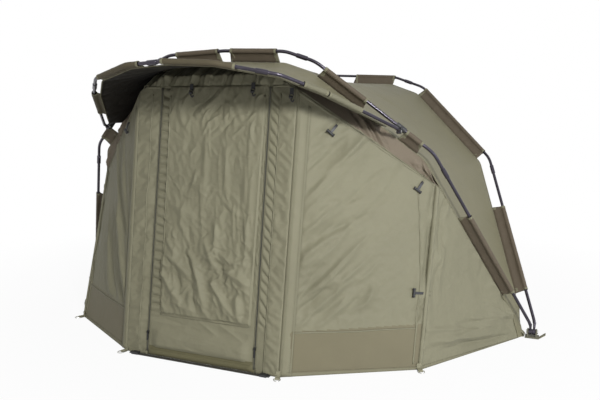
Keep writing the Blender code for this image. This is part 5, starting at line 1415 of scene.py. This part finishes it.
def add_wall():
    """The panels of the front wall with their seams, hems and stitches."""
    cloth = finishes()
    olive, binding = cloth["Canopy nylon"], cloth["Binding tape"]
    panels = wall_panels()
    grid, trim = bpy.context.scene.tent_cloth.grid, bpy.context.scene.tent_trim
    for name, panel in panels.items():
        kind, _, side = name.partition("_")
        fine = {"door": 0.51, "gusset": 0.5, "header": 0.55, "vent": 0.65, "window": 0.72}.get(kind, 0.85)
        look = cloth["Vent nylon"] if kind == "vent" else olive
        made = panel_object(f"{name}_cloth", panel, look, grid * fine)
        if kind == "window":
            foot_band(made, cloth["Skirt nylon"], 0.196, INNER if side == "left" else flip(INNER), 0.058)
        if kind == "door":
            # The door's foot takes the darker olive as painted shade.
            foot_band(made, cloth["Door foot nylon"], 0.046)
        node = {"wing": f"wing_{side}", "window": f"front_panel_{side}", "gusset": f"front_panel_{side}",
                "vent": f"vent_{side}", "door": "door_panel", "header": "header_panel"}[kind]
        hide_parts(node)
        on_wall(made)
    seam = trim.seam / 2
    stitches = []
    for side in ("left", "right"):
        wing, window, gusset, vent = [panels[f"{k}_{side}"] for k in ("wing", "window", "gusset", "vent")]
        inner, outer = [(0.918, 0.0), (0.918, 0.97)], [(0.066, 0.03), (0.075, 0.5), (0.150, 0.93)]
        sill = [(0.066, 0.215), (0.5, 0.176), (0.918, 0.156)]
        # Name, panel, path, half width, direction across, lift and bulge
        for name, panel, path, half, across, lift, bulge in (
                ("corner_seam", window, [(0.012, 0.0), (0.014, 0.5), (0.014, 0.995)], 0.011, "u", 0.0010, 0.004),
                ("window_inner_seam", window, inner, seam * 0.5, "u", 0.0008, 0.0012),
                ("window_outer_seam", window, outer, seam * 0.6, "u", 0.0010, 0.0020),
                ("window_sill_seam", window, sill, seam * 0.45, "v", 0.0008, 0.0012),
                ("window_head_seam", window, [(0.01, 0.992), (0.99, 0.992)], seam * 0.7, "v", 0.0010, 0.0010),
                ("facet_seam", window, [(0.992, 0.0), (0.992, 0.985)], 0.004, "u", 0.001, 0.0018),
                ("flap_edge", gusset, [(0.60, 0.005), (0.60, 0.955)], 0.0035, "u", 0.0016, 0.0030),
                ("gusset_head_seam", gusset, [(0.28, 0.9985), (0.92, 0.9642)], 0.005, "v", 0.0010, 0.0022),
                ("wing_hem", wing, [(0.01, 0.010), (0.99, 0.010)], 0.006, "v", 0.0006, 0.0010),
                ("window_hem", window, [(0.01, 0.007), (0.99, 0.007)], 0.007, "v", 0.0006, 0.0010),
                ("gusset_hem", gusset, [(0.03, 0.006), (0.97, 0.006)], 0.007, "v", 0.0006, 0.0010),
                ("vent_edge", vent, [(0.02, 0.03), (0.98, 0.03)], 0.005, "v", 0.0008, 0.0010)):
            kind = binding if "hem" in name else olive
            on_wall(tape(f"{name}_{side}", panel, path, half, across, lift, bulge, kind))
        # Panel, path, distance aside and direction across
        for panel, path, off, across in ((window, inner, 0.006, "u"), (window, inner, -0.006, "u"),
                                         (window, sill, 0.005, "v"),
                                         (window, [(0.014, 0.0), (0.014, 0.995)], 0.013, "u"),
                                         (window, [(0.01, 0.018), (0.99, 0.018)], 0.0, "v"),
                                         (wing, [(0.01, 0.022), (0.99, 0.022)], 0.0, "v")):
            stitches.append(line_on(panel, path, 0.0018, off, across))
    door = panels["door"]
    for name, path, half, across, lift, bulge in (
            ("door_panel_left_hem", [(0.108, 0.150), (0.095, 0.93)], 0.004, "u", 0.002, 0.002),
            ("door_panel_right_hem", [(0.939, 0.150), (0.960, 0.93)], 0.004, "u", 0.002, 0.002),
            ("door_panel_foot_hem", [(0.108, 0.152), (0.939, 0.152)], 0.006, "v", 0.002, 0.002),
            ("door_head_seam", [(0.016, 0.9615), (0.984, 0.9615)], 0.005, "v", 0.0006, 0.0012),
            ("door_sill_hem", [(0.01, 0.013), (0.99, 0.013)], 0.016, "v", 0.0006, 0.0012)):
        # The sill hem takes the same painted shade as the door's foot.
        kind = cloth["Door foot nylon"] if name == "door_sill_hem" else olive
        on_wall(tape(name, door, path, half, across, lift, bulge, kind))
    stitches.append(line_on(door, [(0.12, 0.158), (0.93, 0.158)], 0.0045))
    stitches.append(line_on(door, [(0.03, 0.950), (0.97, 0.950)]))
    on_wall(row("wall_stitches", stitches, trim.stitch, (0.0042, 0.0010, 0.0008), (0, -1, 0.15),
                cloth["Thread"]))


def add_zips():
    """Zip tapes and teeth on both sides of the door."""
    cloth = finishes()
    out = unit(np.array(WALL_OUT))
    for side, name in ((-1, "left"), (1, "right")):
        foot, top = [p if side < 0 else flip(p) for p in (ZIP_FOOT, ZIP_PEAK)]
        spine = foot + (top - foot) * np.linspace(0.014, 0.958, 90)[:, None]
        for k, (a, b) in enumerate(((-0.0085, -0.0016), (0.0016, 0.0085))):
            strip = np.stack([spine + X * x + out * (0.0012 + 0.0006 * (1 - abs(2 * (x - a) / (b - a) - 1)))
                              for x in np.linspace(a, b, 4)], 1)
            band = sheet_object(f"zip_tape_{name}_{k + 1}", strip, cloth["Zip tape"], 1, 0.0007)
            on_wall(band)
        teeth = row(f"zip_teeth_{name}", [spine + out * 0.0024], bpy.context.scene.tent_trim.tooth,
                    (0.0022, 0.0052, 0.0020), out, cloth["Zip coil"])
        on_wall(teeth)


# Roof, back and visor

def add_canopy():
    """The roof, the back with its seams and hem, the hub corners and the visor."""
    cloth = finishes()
    # roof_cloth is the canopy olive darkened as painted shade.
    roof_cloth, lining_and_shade, binding = cloth["Roof nylon"], cloth["Lining nylon"], cloth["Binding tape"]
    made = panel_object("roof_cloth", roof_panel(), roof_cloth, 0.014)
    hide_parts("roof_panel")
    on_roof(made)
    rear, marks = rear_panel()
    made = panel_object("rear_cloth", rear, roof_cloth, 0.014, breaks=marks[1:-1])
    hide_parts("rear_panel")
    on_rear(made)
    for index, mark in enumerate(marks[1:-1]):
        on_rear(tape(f"rear_seam_{index + 1}", rear, [(mark, 0.0), (mark, 0.995)], 0.008, "u", 0.0006, 0.0012,
                     roof_cloth, 0.03))
    on_rear(tape("rear_hem", rear, [(0.004, 0.006), (0.996, 0.006)], 0.008, "v", 0.0006, 0.001,
                 binding, 0.02))
    for side, name in ((-1, "left"), (1, "right")):
        made = on_ribs(panel_object(f"hub_corner_{name}", hub_panel(side), roof_cloth, 0.008))
    # Its inner side takes the dark lining, which is partly painted shade.
    made = panel_object("visor_cloth", visor_panel(), roof_cloth, 0.010, inner=lining_and_shade)
    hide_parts("visor_panel")
    on_visor(made)


# Fittings

def lift_tab(obj):
    """The unpegged tab stands up from the ground, bent where it leaves the hub."""
    root, angle = HALF_SPAN + 0.036, math.radians(38)
    for vertex in obj.data.vertices:
        beyond = abs(vertex.co.x) - root
        if beyond > 0:
            side, z = math.copysign(1, vertex.co.x), vertex.co.z
            vertex.co.x = side * (root + beyond * math.cos(angle) - z * math.sin(angle))
            vertex.co.z = beyond * math.sin(angle) + z * math.cos(angle)


def add_hubs():
    """Hubs, bolts, peg tabs, visor brackets and pins, with their edges broken."""
    cloth = finishes()
    for side in ("left", "right"):
        for node, material, bevel, slot in ((f"hub_{side}", "Olive plastic", 0.0012, "plastic"),
                                            (f"hub_bolt_{side}", "Plated steel", 0.0005, "steel"),
                                            (f"peg_tab_{side}", "Olive webbing", 0.0005, "webbing"),
                                            (f"visor_bracket_{side}", "Black plastic", 0.0008, "plastic"),
                                            (f"visor_pin_{side}", "Plated steel", 0.0004, "steel")):
            made = refined(node, cloth[material], bevel)
            if node.startswith("peg_tab"):
                lift_tab(made)
            own_body(node, made, False)


def add_hub_straps():
    """A short strap holds each corner of the canopy at its hub."""
    cloth = finishes()
    for side, name in ((-1, "left"), (1, "right")):
        inner, outer = side * (HALF_SPAN - 0.056), side * (HALF_SPAN - 0.036)
        profile = ((inner, 0.030), ((inner + outer) / 2, 0.024), (outer, 0.012),
                   (outer - side * 0.004, 0.004), (inner, 0.004))
        path = [HUB * (0, 1, 0) + X * x + Z * z for x, z in profile]
        strap = joined(f"hub_strap_{name}", [strip_mesh(path, Y, 0.020, 0.0018)], cloth["Olive webbing"])
        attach(strap, "base")


# On the left, with y from the hubs: the middle of each ring's bar, and the way the ring lies
RINGS = {"front_ring_outer": ((-0.971545, -0.668668), (-0.5121, -0.8589)),
         "front_ring_inner": ((-0.414704, -0.999512), (-0.2656, -0.9641)),
         "rear_ring_outer": ((-1.2285, 0.73464), (-0.8909, 0.4542)),
         "rear_ring_inner": ((-0.542853, 1.455268), (-0.3947, 0.9188))}


def ring_wire(bar, out, along):
    """A D of wire, straight along its bar."""
    angles = np.linspace(0, math.pi, 21)
    bow = [bar + along * (0.0145 * math.cos(a)) + out * (0.0235 * math.sin(a) ** 0.7) for a in angles]
    straight = [bar - along * x for x in np.linspace(0.0110, -0.0110, 5)]
    return wire(bow + straight, 0.0022, 10, closed=True)


def add_rings():
    """D-rings on sewn webbing loops along the two hems."""
    cloth = finishes()
    for place, (spot, way) in RINGS.items():
        for side, name in ((-1, "left"), (1, "right")):
            bar = np.array((spot[0] * -side, spot[1] + HUB[1], 0.0042))
            out = np.array((way[0] * -side, way[1], 0.0))
            along = np.cross(out, Z)
            front = place.startswith("front")
            node = f"{place}_{name}"
            ring = joined(f"{node}_made", [ring_wire(bar, out, along)], cloth["Plated steel"])
            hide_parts(node)
            own_body(node, ring, front)
            turn = np.linspace(math.pi / 2, -math.pi / 2, 9)
            path = [(-0.0268, 0.030), (-0.0272, 0.016), (-0.0262, 0.0085), (-0.014, 0.0080), (-0.004, 0.0082)]
            path += [(0.0033 * math.cos(a), 0.0042 + 0.0036 * math.sin(a)) for a in turn]
            path += [(-0.006, 0.0010), (-0.018, 0.0014), (-0.0265, 0.0030)]
            points = [bar * (1, 1, 0) + out * x + Z * z for x, z in path]
            band = strip_mesh(points, along, 0.0105, 0.0011)
            loop = joined(f"{place}_loop_{name}", [band], cloth["Olive webbing"])
            if front:
                on_wall(loop)
            else:
                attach(loop, "base")


def add_door_fittings():
    """Sliders, pulls, buckles and the sill strap, and the hooks over the door."""
    cloth = finishes()
    for side in ("left", "right"):
        for kind, material, bevel, slot in (("zip_slider", "Dark plated steel", 0.0005, "steel"),
                                            ("zip_pull", "Black webbing", 0.0004, "webbing"),
                                            ("buckle", "Black plastic", 0.0012, "plastic"),
                                            ("buckle_tongue", "Black plastic", 0.0008, "plastic")):
            node = f"{kind}_{side}"
            own_body(node, refined(node, cloth[material], bevel), True)
    own_body("sill_strap", refined("sill_strap", cloth["Strap webbing"], 0.0006), True)
    panels = wall_panels()
    down = -unit(np.array((0.0, WALL_SLOPE, 1.0)))
    for index, (panel, u, v) in enumerate(((panels["door"], 0.298, 0.960), (panels["door"], 0.862, 0.962),
                                           (panels["gusset_right"], 0.16, 0.985))):
        spot = np.array([u]), np.array([v])
        out = panel.normal(*spot)[0]
        top = panel.plain(*spot)[0] + out * 0.019
        tab = strip_mesh([top - down * 0.012, top + down * 0.004, top + down * 0.014], X, 0.009, 0.0016)
        ring = wire([top + down * (0.014 + 0.006 * (1 - math.cos(a))) + X * 0.009 * math.sin(a) + out * 0.0015
                     for a in np.linspace(0, 2 * math.pi, 17)[:-1]], 0.0024, 8, closed=True)
        hook = wire([top + down * d + X * x + out * o for d, x, o in
                     ((0.023, 0.0, 0.0035), (0.030, 0.0, 0.0055), (0.040, 0.001, 0.0060),
                      (0.047, 0.004, 0.0055), (0.050, 0.009, 0.0050), (0.046, 0.013, 0.0050),
                      (0.040, 0.0135, 0.0055))], 0.0032, 10)
        plate = turned(top + down * 0.030 + out * 0.0055, X,
                       [(-0.009, 0.004), (-0.0075, 0.0055), (0.0075, 0.0055), (0.009, 0.004)])
        on_wall(joined(f"door_hook_{index + 1}", [tab, ring, hook, plate], cloth["Black plastic"]))


# Where each loop is sewn, with y from the hubs, the toggle's tilt in degrees, and its shift aside and up
TOGGLES = {"toggle_upper_left": ((-0.565481, -0.682824, 1.097633), -18, (0.0, 0.0)),
           "toggle_upper_right": ((0.565481, -0.682824, 1.097633), -42, (0.0, 0.0)),
           "toggle_corner_right": ((0.904708, -0.438654, 0.830967), -38, (0.0, 0.0)),
           "toggle_window_right": ((0.917071, -0.566064, 0.35625), -97, (0.033, -0.026))}


def add_toggles():
    """T-bars on elastic loops; they hang from the wall a little askew."""
    cloth = finishes()
    wall_out = wall_panels()["window_right"].normal(np.array([0.5]), np.array([0.5]))[0]
    for node, (spot, tilt, (aside, lower)) in TOGGLES.items():
        out = wall_out if spot[0] > 0 else flip(wall_out)
        across = unit(np.cross(Z, out))
        up = np.cross(out, across)
        top = np.array(spot) + SHIFT + out * 0.0065 + across * aside + up * lower
        turn = math.radians(tilt)
        down = -up * math.cos(turn) + across * math.sin(turn)
        flat = np.cross(out, down)
        stem = [top + down * d + out * o for d, o in
                ((-0.002, -0.004), (0.006, 0.0), (0.018, 0.0010), (0.030, 0.0015), (0.044, 0.0015))]
        neck = strip_mesh(stem, flat, 0.0058, 0.0050)
        half = [(0.0150, 0.0062), (0.0170, 0.0084), (0.0200, 0.0078), (0.0210, 0.0046)]
        bar = turned(top + down * 0.047 + out * 0.0015, flat,
                     [(-d, r) for d, r in half[::-1]] + [(0.0, 0.0058)] + half)
        made = joined(f"{node}_made", [neck, bar], cloth["Black plastic"])
        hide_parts(node)
        own_body(node, made, True)
        leg = [(-0.040, 0.010), (-0.024, 0.006), (-0.008, 0.0026)]
        turns = leg + [(0.004, 0.0)] + [(d, -f) for d, f in leg[::-1]]
        loop = [top + down * d + flat * f - out * 0.004 for d, f in turns]
        on_wall(joined(f"{node}_elastic", [wire(loop, 0.0013, 8)], cloth["Binding tape"]))


# Stage

def studio_floor(colour, keep):
    """A floor that the camera sees as white far off, and with part of the shadows near the tent."""
    made = bpy.data.materials.new("Studio floor")
    made.use_nodes = True
    tree = Nodes(made.node_tree)
    shader, out = tree.nodes["Principled BSDF"], tree.nodes["Material Output"]
    tree.feed(shader, {"Base Color": (*colour, 1), "Roughness": 0.9})
    glow = tree.add("ShaderNodeEmission", {"Color": (1, 1, 1, 1), "Strength": 1.0})[0]
    far = tree.add("ShaderNodeVectorMath", {0: tree.place()}, operation="LENGTH")["Value"]
    white = tree.add("ShaderNodeMapRange", {"From Min": 1.4, "From Max": 2.9, "To Min": keep, "To Max": 1.0,
                                            "Value": far})[0]
    share = tree.add("ShaderNodeMath", {0: tree.seen(), 1: white}, operation="MULTIPLY")[0]
    tree.feed(out, {"Surface": tree.add("ShaderNodeMixShader", {0: share, 1: shader.outputs[0], 2: glow})[0]})
    return made


def studio_world():
    """Even light, white where the camera sees it."""
    made = bpy.data.worlds.new("Studio")
    made.use_nodes = True
    tree = Nodes(made.node_tree)
    strength = tree.ranged(tree.seen(), 0.30, 1.0)
    tree.feed(tree.nodes["Background"], {"Color": (1, 1, 1, 1), "Strength": strength})
    return made


def lamp(name, place, target, size, power, colour=(1, 1, 1)):
    data = bpy.data.lights.new(name, "AREA")
    data.shape = "DISK"
    data.size = size
    data.energy = power
    data.color = colour
    made = linked(bpy.data.objects.new(name, data))
    made.location = place
    made.rotation_euler = (Vector(target) - Vector(place)).to_track_quat("-Z", "Y").to_euler()


def add_camera():
    """A camera that looks down a little at the tent from its right."""
    sensor, focal_pixels, picture_width = 36.0, 652.1, 600
    turn, rise, distance = math.radians(23.09), math.radians(8.2), 3.786
    data = bpy.data.cameras.new("camera")
    data.sensor_width = sensor
    data.lens = focal_pixels / picture_width * sensor
    made = linked(bpy.data.objects.new("camera", data))
    away = Vector((math.sin(turn) * math.cos(rise), -math.cos(turn) * math.cos(rise), math.sin(rise)))
    made.location = Vector((0.097, HUB[1], 0.643)) + away * distance
    made.rotation_euler = (-away).to_track_quat("-Z", "Y").to_euler()
    bpy.context.scene.camera = made


def add_stage():
    """Floor, even light, three lamps and the camera."""
    scene = bpy.context.scene
    sizes = scene.tent_stage
    half, low = 40, -0.001
    me = bpy.data.meshes.new("floor")
    corners = [(-half, -half, low), (half, -half, low), (half, half, low), (-half, half, low)]
    me.from_pydata(corners, [], [(0, 1, 2, 3)])
    me.materials.append(studio_floor(tuple(sizes.floor), 0.94))
    linked(bpy.data.objects.new("floor", me))
    scene.world = studio_world()
    lamp("key", (4.0, -4.7, 3.1), (0.0, -0.7, 0.7), 0.9, sizes.key)
    lamp("fill", (-1.2, -5.5, 2.6), (0.0, -0.5, 0.6), 3.0, sizes.fill)
    lamp("side", (5.2, -1.8, 1.6), (1.1, -0.4, 0.4), 1.2, sizes.side, (0.93, 0.98, 1.16))
    add_camera()
    scene.view_settings.view_transform = "Standard"


# Operators and panel

class TENT_OT_poles(bpy.types.Operator):
    """Makes the smooth poles of the three ribs with their joints and eyes"""
    bl_idname = "tent.poles"
    bl_label = "Poles"

    def execute(self, context):
        add_poles()
        return {"FINISHED"}


class TENT_OT_sleeves(bpy.types.Operator):
    """Makes the sleeves and the canopy's bound edges along the ribs"""
    bl_idname = "tent.sleeves"
    bl_label = "Sleeves"

    def execute(self, context):
        add_sleeves()
        return {"FINISHED"}


class TENT_OT_wall(bpy.types.Operator):
    """Makes the front wall: wings, windows, door, vents, header, seams and stitches"""
    bl_idname = "tent.wall"
    bl_label = "Front wall"

    def execute(self, context):
        add_wall()
        return {"FINISHED"}


class TENT_OT_zips(bpy.types.Operator):
    """Makes the tapes and teeth of the two door zips"""
    bl_idname = "tent.zips"
    bl_label = "Zips"

    def execute(self, context):
        add_zips()
        return {"FINISHED"}


class TENT_OT_canopy(bpy.types.Operator):
    """Makes the roof, the back and the visor cloth"""
    bl_idname = "tent.canopy"
    bl_label = "Canopy"

    def execute(self, context):
        add_canopy()
        return {"FINISHED"}


class TENT_OT_fittings(bpy.types.Operator):
    """Finishes the hubs, rings, toggles, buckles and the sill strap"""
    bl_idname = "tent.fittings"
    bl_label = "Fittings"

    def execute(self, context):
        add_hubs()
        add_hub_straps()
        add_rings()
        add_door_fittings()
        add_toggles()
        return {"FINISHED"}


class TENT_OT_stage(bpy.types.Operator):
    """Sets up the floor, the lights and the camera"""
    bl_idname = "tent.stage"
    bl_label = "Stage"

    def execute(self, context):
        add_stage()
        return {"FINISHED"}


class TENT_PT_panel(bpy.types.Panel):
    """Lists the tent's pieces and settings"""
    bl_label = "Bivvy Tent"
    bl_space_type = "VIEW_3D"
    bl_region_type = "UI"
    bl_category = "Tent"

    def draw(self, context):
        for group in ("tent_cloth", "tent_frame", "tent_trim", "tent_stage"):
            box = self.layout.box()
            settings = getattr(context.scene, group)
            for key in settings.__annotations__:
                box.prop(settings, key)
        for cls in OPERATORS:
            self.layout.operator(cls.bl_idname)


GROUPS = {"tent_cloth": TentCloth, "tent_frame": TentFrame, "tent_trim": TentTrim, "tent_stage": TentStage}
OPERATORS = (TENT_OT_stage, TENT_OT_poles, TENT_OT_sleeves, TENT_OT_wall, TENT_OT_zips, TENT_OT_canopy,
             TENT_OT_fittings)


def register():
    for cls in (*GROUPS.values(), *OPERATORS, TENT_PT_panel):
        bpy.utils.register_class(cls)
    for name, cls in GROUPS.items():
        setattr(bpy.types.Scene, name, bpy.props.PointerProperty(type=cls))


def unregister():
    for name in GROUPS:
        delattr(bpy.types.Scene, name)
    for cls in (TENT_PT_panel, *OPERATORS[::-1], *list(GROUPS.values())[::-1]):
        bpy.utils.unregister_class(cls)


def main():
    register()
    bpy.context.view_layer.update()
    for name in ("stage", "poles", "sleeves", "wall", "zips", "canopy", "fittings"):
        getattr(bpy.ops.tent, name)()


if __name__ == "__main__":
    main()
